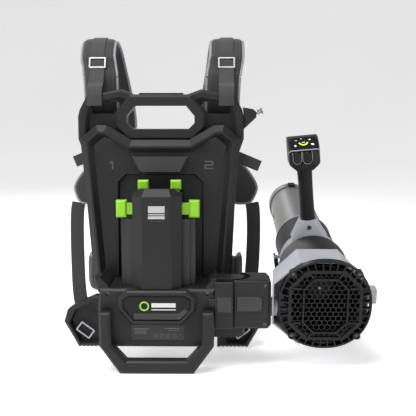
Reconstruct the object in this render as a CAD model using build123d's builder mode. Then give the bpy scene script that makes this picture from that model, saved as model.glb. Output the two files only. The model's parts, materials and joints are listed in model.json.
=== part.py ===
from build123d import *
import math
import os

# Backpack leaf blower: a carried pack with two battery bays, and an in-line axial blower
# on an arm at its lower right. Millimetres, +Z up, +Y the way the wearer faces.
# The origin is on the floor, under the middle of the rear foot.

# ---- fits and walls ----
gap = 0.4             # between neighbouring pieces
swing_gap = 1.5       # between pieces that turn past each other
wall = 3.5            # moulded shells
running = 0.05        # radial clearance of a shaft in its hole

# ---- pack: overall ----
pack_half = 182.0     # half width of the back frame
pack_top = 585.0      # height of the frame's shoulders
frame_web = 16.0      # depth of the back frame's plate
frame_rear = 162.0    # rear face of that plate
rim_depth = 14.0      # how far the frame's rims stand behind the plate
rim_width = 21.0
chamfer_size = 5.0

# ---- pack: rear cover and lower housing ----
cover_rear = 118.0    # rear face of the cover's rim
cover_depth = frame_rear - gap - cover_rear
cover_half = pack_half - 8.0
panel_recess = 12.0   # how deep the cover's panel lies
bay_recess = 22.0     # how deep the battery bay lies
rim_slope = 13.0      # the slope outside the rim's ridge
rim_ridge = 4.0       # the width of the ridge
panel_taper = 42.0    # lean of the slope inside it
facet_rise = 7.0      # how high the panel's corner facets stand
housing_half = 122.0
housing_low = 48.0
housing_high = 172.0
badge_stand = 16.0    # how far the badge frame stands out of the housing

# ---- battery tower ----
tower_half = 50.0
tower_rear = 34.0     # where the tower cover starts
tower_face = 10.0     # rear face of the tower cover
tower_top = 380.0
face_half = 30.0      # half width of the tower cover's flat face
rail_reach = 78.0     # how far out the battery rails stand
rail_top = 314.0

# ---- feet ----
foot_half = 76.0      # half width of the rear foot on the floor
foot_depth = 32.0     # it lies half behind and half in front of the origin
housing_rear = foot_depth / 2 + gap
leg_out = 118.0       # outer half width of the legs
leg_bar = 25.0
wing_reach = 227.0    # how far out the front feet stand
wing_rear = 164.0
wing_depth = 26.0

# ---- arm ----
swing_x = 158.0
swing_y = 62.0
swing_r = 34.0        # the arm's round end
pin_r = 6.0
arm_low = 86.0
arm_high = 191.0
arm_rear = 28.0
arm_depth = 2 * (swing_y - arm_rear)
arm_end = 237.0
panel_z = (arm_low + arm_high) / 2 + 2   # the raised blank panel on the arm's rear
panel_high = 34.0

# ---- blower: lengths along its own axis from the grille's face ----
cage_half = 96.5      # the grille's outer cage, half width
face_half_out = 76.0  # the grille's face ring
hub_wide = 47.0       # the raised ring in the middle of the face
hub_high = 60.0
mesh_pitch = 11.2
mesh_bar = 1.8
cage_power = 2.2      # 2 is round, more is squarer
cage_wall = 4.0
cage_front = 9.0      # the cage's ring, from its front edge to its rear edge
cage_end = 24.0
rib_count = 36
boss_high = 19.0
shroud_wide = 106.0   # the shroud's reach towards the arm, its reach away from it, and its half height
shroud_out = 91.0
shroud_high = 88.0
shroud_start = cage_end + gap
shroud_end = 110.0
trunnion_s = 50.0     # the tilt axis, along the blower's axis and above it
trunnion_h = -20.0
fan_case_r = 80.0     # the ribbed case
fan_case_end = 232.0
duct_r = 66.0         # the duct behind the fan
duct_end = 338.0
coupling_end = 440.0
tube_r = 64.0
tube_end_r = 60.5
tube_end = 800.0
shell = 3.0           # wall of the blower's shells
blower_tilt = 8.0     # how far the tube points up at rest
blower_x = arm_end + swing_gap + shroud_wide + 2.5
blower_z = 140.0
tilt_axle_r = 12.0

# ---- handle: heights above the blower's axis, and its place along that axis ----
handle_s = 268.0
collar_half = 30.0
collar_r = 75.0
saddle_top = 113.0
grip_top = 231.0
grip_wide = 35.0
grip_deep = 43.0
head_top = 306.0
head_face = 52.0      # height of the head's rear face
funnel = 17.0         # how far the head narrows down to the grip
handle_lean = 5.5     # how far the handle is rolled towards the wearer at rest
head_half = 35.0

# ---- straps ----
strap_x = 144.0
strap_wide = 72.0
strap_thick = 14.0
web_wide = 30.0
web_thick = 2.0
belt_thick = 12.0


def rear(y):
    """The plane at depth y, seen from behind the pack, with its normal towards -Y."""
    return Plane.XZ.offset(-y)


def both(half):
    """A closed outline that is the same left and right, from the points of its right half."""
    return list(half) + [(-x, z) for x, z in reversed(half)]


def eight(wide, high, corner):
    """An octagon of those half widths over its flats, with its corners cut back by corner."""
    w, h, c, d = wide, high, wide - corner, high - corner
    return [(c, h), (w, d), (w, -d), (c, -h), (-c, -h), (-w, -d), (-w, d), (-c, h)]


def polygon(points, mode=Mode.ADD):
    """A face from the points of an outline, on the open sketch's plane."""
    Polygon(*points, align=None, mode=mode)


def section_planes(stations):
    """A plane square to the stations' line at each one, level across wherever it can be.
    Its y direction points out of the loop for a line that rises at the rear."""
    points = [Vector(*s[:3]) for s in stations]
    planes = []
    last = len(points) - 2
    for i, here in enumerate(points):
        ahead = (points[min(i, last) + 1] - points[min(i, last)]).normalized()
        behind = (points[max(i, 1)] - points[max(i, 1) - 1]).normalized()
        along = (ahead + behind).normalized()
        across = (Vector(1, 0, 0) - along * along.X).normalized()
        planes.append(Plane(here, x_dir=-across, z_dir=along))
    return planes


def band(stations, width, thickness):
    """A flat band through stations of (x, y, z, width scale)."""
    planes = section_planes(stations)
    sections = [Face.make_rect(width * s[3], thickness, plane) for s, plane in zip(stations, planes)]
    for start, stop in zip(sections, sections[1:]):
        loft([start, stop], ruled=True)


def lifted(stations, lift):
    """The same stations, moved out of the loop by lift."""
    moved = [plane.origin + plane.y_dir * lift for plane in section_planes(stations)]
    return [(p.X, p.Y, p.Z, s[3]) for p, s in zip(moved, stations)]


# ======================= the pack =======================

hole_top = pack_top - 36.0        # the carry handle's opening
hole_low = pack_top - 86.0
hole_half = 56.0
window_top = pack_top - 27.0      # the windows that the shoulder straps go through
window_low = pack_top - 53.0
window_in = pack_half - 88.0
window_out = pack_half - 30.0
cover_top = pack_top - 78.0
cover_dip = pack_top - 109.0

frame_outline = both([
    (hole_half + 2, pack_top - 11), (hole_half + 32, pack_top), (pack_half - 20, pack_top - 14),
    (pack_half - 4, pack_top - 44), (pack_half, pack_top - 60), (pack_half, pack_top - 108),
    (pack_half - 14, pack_top - 148), (pack_half - 26, housing_high), (housing_half, 64.0),
    (housing_half - 14, 52.0),
])
hole_outline = both([
    (hole_half, hole_top), (hole_half + 18, hole_top - 22), (hole_half + 18, hole_low + 13),
    (hole_half + 5, hole_low),
])
window_outline = [
    (window_in, window_top), (window_out - 8, window_top + 2), (window_out, window_top - 10),
    (window_out, window_low), (window_in + 10, window_low), (window_in - 6, window_top - 8),
]
cover_outline = both([
    (tower_half + 12, cover_dip), (cover_half - 58, cover_top), (cover_half - 35, cover_top + 1),
    (cover_half, cover_dip + 2), (cover_half - 8, 388.0), (cover_half - 24, housing_high + gap),
])
panel_outline = both([
    (tower_half + 12, cover_dip), (cover_half - 58, cover_top), (cover_half - 35, cover_top + 1),
    (cover_half, cover_dip + 2), (cover_half - 8, 388.0), (cover_half - 30, housing_high - 60),
])
bay_outline = both([
    (tower_half + 26, 402.0), (tower_half + 44, 384.0), (tower_half + 44, housing_high - 8),
])

# Back frame: one moulded plate with rims round its shoulders and a carry handle.
with BuildPart() as back_frame:
    with BuildSketch(rear(frame_rear + frame_web)):
        polygon(frame_outline)
    extrude(amount=frame_web)
    with BuildSketch(rear(frame_rear)):
        polygon(frame_outline)
        offset(amount=-rim_width, kind=Kind.INTERSECTION, mode=Mode.SUBTRACT)
        polygon(both([(pack_half + 1, cover_dip - 60), (pack_half + 1, -1.0)]), mode=Mode.SUBTRACT)
    extrude(amount=rim_depth)
    chamfer(back_frame.faces().filter_by(Axis.Y).sort_by(Axis.Y)[0].edges(), chamfer_size)
    # the handle's loop stands further back than the rims
    with BuildSketch(rear(frame_rear)):
        polygon(hole_outline)
        offset(amount=rim_width + 3, kind=Kind.INTERSECTION)
        polygon(both([(pack_half, pack_top + 60), (pack_half, pack_top - 11)]), mode=Mode.SUBTRACT)
    extrude(amount=rim_depth + 8)
    chamfer(back_frame.faces().filter_by(Axis.Y).sort_by(Axis.Y)[0].edges(), chamfer_size)
    with BuildSketch(rear(frame_rear + frame_web)):
        polygon(hole_outline)
    extrude(amount=2 * frame_web + rim_depth, mode=Mode.SUBTRACT)
    for side in (1, -1):
        with BuildSketch(rear(frame_rear + frame_web)):
            polygon([(side * x, z) for x, z in window_outline])
        extrude(amount=2 * frame_web + rim_depth, mode=Mode.SUBTRACT)
    # room for the rear cover, and a pocket that leaves the plate one wall thick
    with BuildSketch(rear(frame_rear)):
        polygon(cover_outline)
        offset(amount=gap, kind=Kind.INTERSECTION)
    extrude(amount=2 * rim_depth + 16, mode=Mode.SUBTRACT)
    for low, high in ((housing_low + 32, 255.0), (262.0, 355.0), (362.0, hole_low - 34)):
        with BuildSketch(rear(frame_rear + frame_web)):
            with Locations((0, (low + high) / 2)):
                Rectangle(2 * (housing_half - 8), high - low)
        extrude(amount=frame_web - wall, mode=Mode.SUBTRACT)

# Grip pad let into the top of the carry handle.
with BuildPart() as handle_pad:
    with BuildSketch(Plane.XY.offset(pack_top - 11 + gap)):
        with Locations((0, frame_rear + frame_web / 2 - 2)):
            RectangleRounded(2 * hole_half - 14, frame_web, 6)
    extrude(amount=3.0)
    chamfer(handle_pad.faces().sort_by(Axis.Z)[-1].edges(), 1.4)

# Rear cover: the big faceted shell, open towards the frame.
with BuildPart() as rear_cover:
    with BuildSketch(rear(cover_rear + cover_depth)):
        polygon(cover_outline)
    extrude(amount=cover_depth)
    chamfer(rear_cover.faces().sort_by(Axis.Y)[0].edges(), rim_slope)
    with BuildSketch(rear(cover_rear)):
        polygon(panel_outline)
        offset(amount=-rim_slope - rim_ridge, kind=Kind.INTERSECTION)
    extrude(amount=-panel_recess, taper=panel_taper, mode=Mode.SUBTRACT)
    with BuildSketch(rear(cover_rear + panel_recess)):
        polygon(bay_outline)
    extrude(amount=-(bay_recess - panel_recess), taper=20, mode=Mode.SUBTRACT)
    with BuildSketch(rear(cover_rear + cover_depth)):
        polygon(cover_outline)
        offset(amount=-wall - 2, kind=Kind.INTERSECTION)
    extrude(amount=cover_depth - bay_recess - wall, mode=Mode.SUBTRACT)

# Corner facets of the panel: wedges that rise from its floor towards the shoulders.
facet_outline = [(144.0, 462.0), (120.0, 482.0), (82.0, 468.0), (138.0, 446.0)]
panel_floor = cover_rear + panel_recess
cover_body = rear_cover.part
for side in (1, -1):
    high, top, foot_in, foot_out = [Vector(side * x, panel_floor, z) for x, z in facet_outline]
    lean = (foot_out - foot_in).cross(high - Vector(0, facet_rise, 0) - foot_in).normalized()
    with BuildPart() as facet:
        with BuildSketch(rear(panel_floor + wall)):
            polygon([(side * x, z) for x, z in facet_outline])
        extrude(amount=wall + 2 * facet_rise)
        split(bisect_by=Plane(origin=foot_in, x_dir=foot_out - foot_in, z_dir=lean if lean.Y < 0 else -lean),
              keep=Keep.BOTTOM)
    cover_body += facet.part

# Header: the trapezoid plate above the tower.
header_low = tower_top + 30.0
with BuildPart() as tower_header:
    with BuildSketch(rear(cover_rear + panel_recess - gap)):
        polygon(both([(62.0, header_low + 32), (62.0, header_low + 27), (44.0, header_low - 6)]))
    extrude(amount=16.0, taper=14)

# Lower housing: the box under the bays, with the badge frame on its rear.
badge_outline = both([
    (62.0, housing_high), (80.0, housing_high - 14), (80.0, housing_high - 41), (52.0, housing_high - 73),
])
plate_half = 56.0
plate_low = housing_low + 14.0
plate_high = housing_low + 50.0
with BuildPart() as lower_housing:
    with BuildSketch(rear(frame_rear - gap)):
        polygon(both([(housing_half - 2, housing_high), (housing_half + 2, 136.0), (housing_half - 4, 62.0),
                      (housing_half - 17, housing_low)]))
    extrude(amount=frame_rear - gap - housing_rear)
    chamfer(lower_housing.faces().sort_by(Axis.Y)[0].edges(), chamfer_size)
    with BuildSketch(rear(cover_rear - 1)):
        for side in (1, -1):
            polygon([(side * x, z) for x, z in (
                (housing_half - 24, housing_high - 8), (housing_half - 18, housing_high + 7),
                (housing_half - 1, housing_high + 23), (housing_half + 1, housing_high + 20),
                (housing_half + 2, housing_high - 8))])
    extrude(amount=cover_rear - 1 - housing_rear - 6)
    with BuildSketch(rear(housing_rear + 2)):
        polygon(badge_outline)
    extrude(amount=badge_stand + 2)
    chamfer(lower_housing.faces().sort_by(Axis.Y)[0].edges(), 4)
    # the badge frame's well, the rating plate's well, and the hollow inside
    with BuildSketch(rear(housing_rear - badge_stand)):
        polygon(badge_outline)
        offset(amount=-9, kind=Kind.INTERSECTION)
    extrude(amount=-5, taper=20, mode=Mode.SUBTRACT)
    with BuildSketch(rear(housing_rear)):
        with Locations((0, (plate_low + plate_high) / 2)):
            Rectangle(2 * plate_half, plate_high - plate_low)
    extrude(amount=-2.5, mode=Mode.SUBTRACT)
    with BuildSketch(rear(frame_rear - gap)):
        with Locations((0, (housing_low + housing_high) / 2)):
            Rectangle(2 * (housing_half - 22), housing_high - housing_low - 3 * wall)
    extrude(amount=frame_rear - gap - housing_rear - 2 * wall, mode=Mode.SUBTRACT)
    for side in (1, -1):
        with Locations(Plane(origin=(side * (housing_half - 18), housing_rear, housing_high - 10), z_dir=(0, -1, 0))):
            CounterBoreHole(radius=2.2, counter_bore_radius=4.5, counter_bore_depth=9, depth=14)

# The arm's two hinge lugs belong to the lower housing.
lug_r = swing_r - 10.0
lug_thick = 12.0
top_lug = arm_high - lug_thick
low_lug = arm_low - 22.0
with BuildPart() as hinge_lugs:
    for low, thick in ((top_lug, lug_thick - 1), (low_lug, arm_low - gap - low_lug)):
        with BuildSketch(Plane.XY.offset(low)):
            with Locations((swing_x, swing_y)):
                Circle(lug_r)
            polygon([(housing_half - 1, swing_y - lug_r), (swing_x, swing_y - lug_r),
                     (swing_x, swing_y + lug_r), (housing_half - 1, swing_y + lug_r)])
        extrude(amount=thick)
    with BuildSketch(Plane.XY.offset(low_lug)):
        with Locations((housing_half - 1 - 4, swing_y)):
            Rectangle(12, 2 * lug_r)
    extrude(amount=top_lug + lug_thick - 1 - low_lug)
    with Locations((swing_x, swing_y, arm_high)):
        Hole(radius=pin_r + running)

# Hinge cover: the plate that carries the housing's rear on over the hinge.
hinge_cover_thick = 4.6
with BuildPart() as hinge_cover:
    with BuildSketch(rear(housing_rear - gap)):
        polygon([(leg_out + gap + 1, arm_low + 3), (swing_x - 1, arm_low + 3), (swing_x - 1, arm_high - 3),
                 (leg_out + gap + 1, arm_high - 3)])
        polygon([(leg_out - 12, 137.0), (leg_out + gap + 2, 137.0), (leg_out + gap + 2, 152.0), (leg_out - 12, 152.0)])
    extrude(amount=hinge_cover_thick)
    chamfer(hinge_cover.faces().sort_by(Axis.Y)[0].edges(), 1.5)
    with BuildSketch(rear(housing_rear - gap - hinge_cover_thick)):
        polygon([(leg_out + 6, panel_z - panel_high / 2), (swing_x - 4, panel_z - panel_high / 2),
                 (swing_x - 4, panel_z + panel_high / 2), (leg_out + 6, panel_z + panel_high / 2)])
    extrude(amount=1.6, taper=20)

# Badge panel: a plain plate in the badge frame's well.
with BuildPart() as badge_panel:
    with BuildSketch(rear(housing_rear - badge_stand + 5 - gap)):
        polygon(badge_outline)
        offset(amount=-13, kind=Kind.INTERSECTION)
    extrude(amount=2.0)

# Rating plate: a plain label plate under the badge.
with BuildPart() as rating_plate:
    with BuildSketch(rear(housing_rear + 2.5 - gap / 4)):
        with Locations((0, (plate_low + plate_high) / 2)):
            RectangleRounded(2 * (plate_half - gap), plate_high - plate_low - 2 * gap, 1.5)
    extrude(amount=1.2)

# Rear foot: a bent bar that stands on the floor and runs up both sides of the housing.
leg_top = housing_high - 42.0
with BuildPart() as rear_foot:
    with BuildSketch(rear(housing_rear - gap)):
        polygon(both([(leg_out, leg_top), (leg_out, 58.0), (foot_half, 0.0)]))
        polygon(both([(leg_out - leg_bar, leg_top + 1), (leg_out - leg_bar, 62.0),
                      (foot_half - 14, 28.0)]), mode=Mode.SUBTRACT)
    extrude(amount=foot_depth)
    chamfer(rear_foot.faces().filter_by(Axis.Y).edges(), chamfer_size)

# Front feet: the wide wings that the hip belt and the shoulder webbing anchor to.
wing_outline = [
    (wing_reach, 59.0), (wing_reach - 8, 86.0), (wing_reach - 24, 98.0), (housing_half + 33, 120.0),
    (housing_half + 2, 120.0), (housing_half + 2, 0.0), (wing_reach - 33, 0.0),
]
tread_r = 3.0
wings = {}
for name, side in (("front_foot_right", 1), ("front_foot_left", -1)):
    with BuildPart() as wing:
        with BuildSketch(rear(wing_rear + wing_depth)):
            polygon([(side * x, z) for x, z in wing_outline])
        extrude(amount=wing_depth)
        chamfer(wing.faces().sort_by(Axis.Y)[0].edges(), chamfer_size)
        with BuildSketch(rear(wing_rear)):
            polygon([(side * x, z) for x, z in (
                (wing_reach - 12, 56.0), (wing_reach - 26, 88.0), (housing_half + 40, 106.0),
                (housing_half + 28, 92.0), (housing_half + 22, 10.0), (wing_reach - 38, 7.0))])
        extrude(amount=-wing_depth + 2 * wall, taper=12, mode=Mode.SUBTRACT)
        with BuildSketch(rear(wing_rear + wing_depth + 1)):
            with Locations((side * (housing_half + 38), 0)):
                with GridLocations(9.0, 1, 7, 1):
                    Circle(tread_r)
        extrude(amount=wing_depth + 2, mode=Mode.SUBTRACT)
        with BuildSketch(rear(wing_rear + wing_depth + 1)):
            polygon([(side * x, z) for x, z in (
                (pack_half - 26 + 2 * gap, housing_high), (housing_half + 2 * gap, 64.0 - gap),
                (housing_half - 14, 52.0 - 2 * gap), (0, 52.0 - 2 * gap), (0, housing_high))])
        extrude(amount=wing_depth + 2, mode=Mode.SUBTRACT)
    wings[name] = wing.part

# ---- battery tower ----
tower_low = housing_high + gap
slot_high = 12.0
with BuildPart() as battery_tower:
    with BuildSketch(Plane.XY.offset(tower_low)):
        with Locations((0, (tower_rear + cover_rear + bay_recess) / 2)):
            Rectangle(2 * tower_half, cover_rear + bay_recess - gap - tower_rear)
    extrude(amount=tower_top - 14 - tower_low)
    with BuildSketch(Plane.XY.offset(tower_low)):
        with Locations((0, (tower_rear + cover_rear + bay_recess) / 2)):
            Rectangle(2 * (tower_half - wall), cover_rear + bay_recess - gap - tower_rear - 2 * wall)
    extrude(amount=tower_top - 14 - wall - tower_low, mode=Mode.SUBTRACT)
    # slots for the two latches and holes for the two buttons' stems
    with Locations((0, 53.0, 336.0)):
        Box(2 * tower_half + 2, slot_high, 26, mode=Mode.SUBTRACT)
    for side in (1, -1):
        with Locations((side * 35.0, 102.0, tower_top - 14)):
            Box(17, 10, 30, mode=Mode.SUBTRACT)

cover_edge = tower_half + 2.0
with BuildPart() as tower_cover:
    with BuildSketch(Plane.XY.offset(tower_low)):
        polygon(both([(face_half, tower_face), (cover_edge - 1, tower_face + 17),
                      (cover_edge - 1, tower_rear - gap)]))
    extrude(amount=tower_top - tower_low)
    chamfer(tower_cover.faces().sort_by(Axis.Z)[-1].edges().sort_by(Axis.Y)[:3], 15)
    with BuildSketch(Plane.XY.offset(tower_low - 1)):
        polygon(both([(face_half - 2, tower_face + wall), (cover_edge - 5, tower_face + 19),
                      (cover_edge - 5, tower_rear)]))
    extrude(amount=tower_top - 20 - tower_low, mode=Mode.SUBTRACT)
    # a shallow eight-sided well near the top
    with BuildSketch(rear(tower_face)):
        polygon(both([(15.0, tower_top - 29), (22.0, tower_top - 37), (22.0, tower_top - 56), (12.0, tower_top - 65)]))
    extrude(amount=-1.4, mode=Mode.SUBTRACT)

# Battery rails: a stepped strip down each side of the tower.
with BuildPart() as battery_rails:
    for side in (1, -1):
        for inner, outer, near, far in ((tower_half + gap, rail_reach, 60.0, 66.0),
                                        (tower_half + gap, 66.0, 50.0, 60.0)):
            with Locations((side * (inner + outer) / 2, (near + far) / 2, (tower_low + rail_top) / 2)):
                Box(outer - inner, far - near, rail_top - tower_low)

# Terminal blocks at the foot of each bay, with five blades each.
with BuildPart() as battery_terminals:
    for side in (1, -1):
        with Locations((side * (tower_half + 14), 84.0, tower_low + 11)):
            Box(24, 26, 22)
        with Locations((side * (tower_half + 14), 84.0, tower_low + 27)):
            with GridLocations(0, 5.0, 1, 5):
                Box(14, 1.2, 12)

# Release buttons on top of the tower, and the latches that they draw in.
latch_parts = {}
for side, word in ((1, "right"), (-1, "left")):
    with BuildPart() as button:
        with BuildSketch(rear(110.0)):
            with Locations((side * 35.0, tower_top + 1)):
                Rectangle(23, 21)
        extrude(amount=15.0)
        chamfer(button.faces().sort_by(Axis.Y)[0].edges(), 3)
        with Locations((side * 35.0, 102.0, tower_top - 18)):
            Box(15, 8, 17)
    latch_parts["release_button_" + word] = button.part
    with BuildPart() as latch:
        with BuildSketch(rear(62.0)):
            with Locations((side * 76.0, 336.0)):
                Rectangle(22, 36)
        extrude(amount=18.0)
        chamfer(latch.faces().sort_by(Axis.Y)[0].edges(), 3)
        with Locations((side * 53.0, 53.0, 336.0)):
            Box(26, slot_high - 2, 24)
    latch_parts["battery_latch_" + word] = latch.part

# Control unit inside the lower housing: a board with its parts, and a finned heat sink.
with BuildPart() as control_unit:
    with Locations((0, 92.0, 112.0)):
        Box(150, 3, 80)
    with Locations((-40, 84.0, 112.0)):
        Box(44, 13, 52)
    with Locations((30, 84.0, 96.0)):
        with GridLocations(22, 0, 3, 1):
            Cylinder(8, 30)
    with Locations((0, 100.0, 112.0)):
        Box(120, 4, 70)
    with Locations((0, 113.0, 112.0)):
        with GridLocations(12, 0, 10, 1):
            Box(2.5, 22, 70)

# Screws of the pack, seen in their wells.
with BuildPart() as pack_screws:
    for side in (1, -1):
        with Locations(Plane(origin=(side * (housing_half - 18), housing_rear + 8.9 - gap / 4, housing_high - 10), z_dir=(0, -1, 0))):
            Cylinder(3.9, 3, align=(Align.CENTER, Align.CENTER, Align.MIN))
            Cylinder(1.9, 4.5, align=(Align.CENTER, Align.CENTER, Align.MAX))

# Hanger at the right shoulder: a bracket with a turned stud.
stud_lean = 20.0
stud_at = Plane(origin=(pack_half + 27.5, frame_rear + 2, pack_top - 51),
                z_dir=(math.cos(math.radians(stud_lean)), 0, math.sin(math.radians(stud_lean))))
with BuildPart() as hanger_bracket:
    with BuildSketch(rear(frame_rear + 14)):
        polygon([(pack_half + gap, pack_top - 62), (pack_half + gap, pack_top - 86), (pack_half + 9, pack_top - 78),
                 (pack_half + 27, pack_top - 61), (pack_half + 28, pack_top - 50), (pack_half + 20, pack_top - 43),
                 (pack_half - 2, pack_top - 39)])
    extrude(amount=24)
    chamfer(hanger_bracket.faces().sort_by(Axis.Y)[0].edges(), 3)
    with BuildSketch(rear(frame_rear + 20)):
        polygon([(x * (1 + gap / pack_half), z) for x, z in frame_outline])
    extrude(amount=40, mode=Mode.SUBTRACT)
    with BuildSketch(stud_at.offset(-10)):
        Circle(3.5)
    extrude(amount=20, mode=Mode.SUBTRACT)
with BuildPart() as hanger_stud:
    with BuildSketch(stud_at.offset(-9.6)):
        Circle(3.3)
    extrude(amount=14)
    with BuildSketch(stud_at.offset(3)):
        Circle(6.5)
    with BuildSketch(stud_at.offset(9)):
        Circle(4.0)
    loft()
    with BuildSketch(stud_at.offset(9)):
        Circle(4.0)
    with BuildSketch(stud_at.offset(14)):
        Circle(8.0)
    loft()

# ======================= straps, pads and belt =======================

# The pad's middle line, up behind the frame, over the shoulder and down in front.
strap_path = [
    (strap_x - 9, 194.0, pack_top - 35, 0.97), (strap_x - 7, 198.0, pack_top + 25, 1.0),
    (strap_x + 1, 214.0, pack_top + 76, 1.0), (strap_x + 1, 242.0, pack_top + 106, 1.0),
    (strap_x, 276.0, pack_top + 109, 1.0), (strap_x - 4, 314.0, pack_top + 88, 1.0),
    (strap_x - 12, 344.0, pack_top + 40, 0.97), (strap_x - 24, 358.0, pack_top - 20, 0.94),
    (strap_x - 32, 358.0, pack_top - 78, 0.94), (strap_x - 24, 342.0, pack_top - 135, 1.0),
    (strap_x - 2, 318.0, pack_top - 180, 1.08), (strap_x + 26, 294.0, pack_top - 218, 1.1),
    (strap_x + 45, 280.0, pack_top - 246, 0.95), (strap_x + 57, 271.0, pack_top - 262, 0.5),
]
web_lift = strap_thick / 2 + web_thick / 2 + 2 * gap
web_behind = frame_rear - rim_depth - web_thick / 2 - 2 * gap
web_path = [(strap_x, y, z, 1.0) for x, y, z, scale in lifted(strap_path, web_lift)[1:6]]
# over the frame's top bar and into its window, then up the pad's outside
web_path = [(strap_x, web_behind, window_top - 10, 1.0), (strap_x, web_behind, pack_top - 12, 1.0),
            (strap_x, web_behind + 8, pack_top + 4, 1.0)] + web_path
slider_wall = 3.4
slider_high = 25.0
slider_thick = 2.6
soft_parts = {}
lower_webs = []
for side, word in ((1, "right"), (-1, "left")):
    path = [(side * x, y, z, scale) for x, y, z, scale in strap_path]
    with BuildPart() as pad:
        band(path, strap_wide, strap_thick)
    soft_parts["strap_pad_" + word] = pad.part
    with BuildPart() as webbing:
        band([(side * x, y, z, scale) for x, y, z, scale in web_path], web_wide, web_thick)
    with BuildPart() as lifter:
        with BuildSketch(rear(frame_rear + frame_web + gap + web_thick)):
            polygon([(side * x, z) for x, z in ((148, 458), (pack_half + 41, 426), (pack_half + 32, 403), (148, 431))])
        extrude(amount=web_thick)
    with BuildPart() as lower_web:
        band([(side * (pack_half + 27), 268.0, pack_top - 272, 1.07), (side * (pack_half + 27), 262.0, 250.0, 1.07),
              (side * (pack_half + 25), 248.0, 180.0, 1.07), (side * (pack_half + 18), 222.0, 120.0, 1.07),
              (side * (pack_half + 6), 197.0, 70.0, 1.07), (side * (pack_half + 2), 194.0, 44.0, 1.07)],
             web_wide, web_thick)
    soft_parts["strap_webbing_" + word] = Compound(children=[webbing.part, lifter.part])
    lower_webs.append(lower_web.part)

soft_parts["lower_webbing"] = Compound(children=lower_webs)

# Sliders: four flat metal frames, two on the shoulder webbing and two in the front feet.
slider_wide = web_wide + 2 * slider_wall + 1
web_low, web_high = [Vector(*s[:3]) for s in web_path[3:5]]
web_run = (web_high - web_low).normalized()
web_out = web_run.cross(Vector(-1, 0, 0))
slider_at = web_low + (web_high - web_low) * 0.6 + web_out * (web_thick / 2 + gap)
with BuildPart() as strap_sliders:
    for side in (1, -1):
        places = [
            Plane(origin=(side * slider_at.X, slider_at.Y, slider_at.Z), x_dir=(1, 0, 0), z_dir=web_out),
            Plane(origin=(side * (pack_half - 3), wing_rear + 9, 38.0), z_dir=(0, -1, 0),
                  x_dir=(0.8, 0, side * 0.6)),
        ]
        for slider_plane in places:
            with BuildSketch(slider_plane):
                RectangleRounded(slider_wide, slider_high, 2)
                Rectangle(slider_wide - 2 * slider_wall, slider_high - 2 * slider_wall, mode=Mode.SUBTRACT)
            extrude(amount=slider_thick)

# Back and lumbar pads on the wearer's side.
pad_face = frame_rear + frame_web + gap
with BuildPart() as back_pad:
    with BuildSketch(rear(pad_face)):
        polygon(both([(60.0, 468.0), (96.0, 440.0), (104.0, 360.0), (92.0, 286.0), (70.0, 274.0)]))
    extrude(amount=-20)
    chamfer(back_pad.faces().sort_by(Axis.Y)[-1].edges(), 6)
with BuildPart() as lumbar_pad:
    with BuildSketch(rear(pad_face)):
        polygon(both([(70.0, 236.0), (112.0, 214.0), (118.0, 150.0), (90.0, 112.0)]))
    extrude(amount=-26)
    chamfer(lumbar_pad.faces().sort_by(Axis.Y)[-1].edges(), 8)

# Hip belt: two padded wings that curve forwards, and a webbing with a buckle between them.
belt_z = 163.0
belt_high = 76.0
belt_line = [(126.0, 190.0), (152.0, 204.0), (172.0, 232.0), (178.0, 268.0), (170.0, 304.0)]
web_line = [(171.0, 310.0), (150.0, 346.0), (110.0, 368.0), (32.0, 378.0)]
with BuildPart() as hip_belt:
    for side in (1, -1):
        with BuildSketch(Plane.XY.offset(belt_z - belt_high / 2)):
            with BuildLine():
                Polyline(*[(side * x, y) for x, y in belt_line])
            trace(line_width=belt_thick)
        extrude(amount=belt_high)
with BuildPart() as belt_webbing:
    for side in (1, -1):
        with BuildSketch(Plane.XY.offset(belt_z - 19)):
            with BuildLine():
                Polyline(*[(side * x, y) for x, y in web_line])
            trace(line_width=2.4)
        extrude(amount=38)
with BuildPart() as belt_buckle:
    for side, inner in ((1, 1.0), (-1, 1.0)):
        with BuildSketch(Plane.XZ.offset(-373.0)):
            with Locations((side * (inner + 15), belt_z)):
                RectangleRounded(28, 48, 4)
        extrude(amount=-9.5)
    with Locations((0, 377.8, belt_z)):
        Box(4, 5, 24)

# ======================= the arm =======================

with BuildPart() as arm_housing:
    with BuildSketch(Plane.XY.offset(arm_low)):
        with Locations((swing_x, swing_y)):
            Circle(swing_r)
        with Locations(((swing_x + arm_end) / 2, swing_y)):
            Rectangle(arm_end - swing_x, arm_depth)
    extrude(amount=arm_high - arm_low)
    chamfer(arm_housing.edges().filter_by(Axis.Y).sort_by(Axis.X)[-2:], 8)
    # clear of the lugs, and open for the swing pin
    for low, high in ((top_lug - gap, arm_high + 1), (arm_low - 1, arm_low)):
        with Locations((swing_x, swing_y, low)):
            Cylinder(swing_r + 3, high - low, align=(Align.CENTER, Align.CENTER, Align.MIN), mode=Mode.SUBTRACT)
    with Locations((swing_x, swing_y, arm_high)):
        Hole(radius=pin_r + running)
    # the hollow behind the cover, and the socket of the tilt axle
    with BuildSketch(rear(arm_rear)):
        with Locations(((swing_x + lug_r + arm_end) / 2 - 2, (arm_low + arm_high) / 2)):
            Rectangle(arm_end - swing_x - lug_r - 16, arm_high - arm_low - 4 * wall)
    extrude(amount=-(swing_y - arm_rear - tilt_axle_r - 6), mode=Mode.SUBTRACT)
lean = math.radians(blower_tilt)
axle_y = trunnion_s * math.cos(lean) - trunnion_h * math.sin(lean)
axle_z = blower_z + trunnion_s * math.sin(lean) + trunnion_h * math.cos(lean)
with BuildPart(Plane(origin=(arm_end, axle_y, axle_z), z_dir=(1, 0, 0))) as axle_socket:
    Cylinder(tilt_axle_r + running, 24, align=(Align.CENTER, Align.CENTER, Align.MAX))
arm_body = arm_housing.part - axle_socket.part
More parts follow.
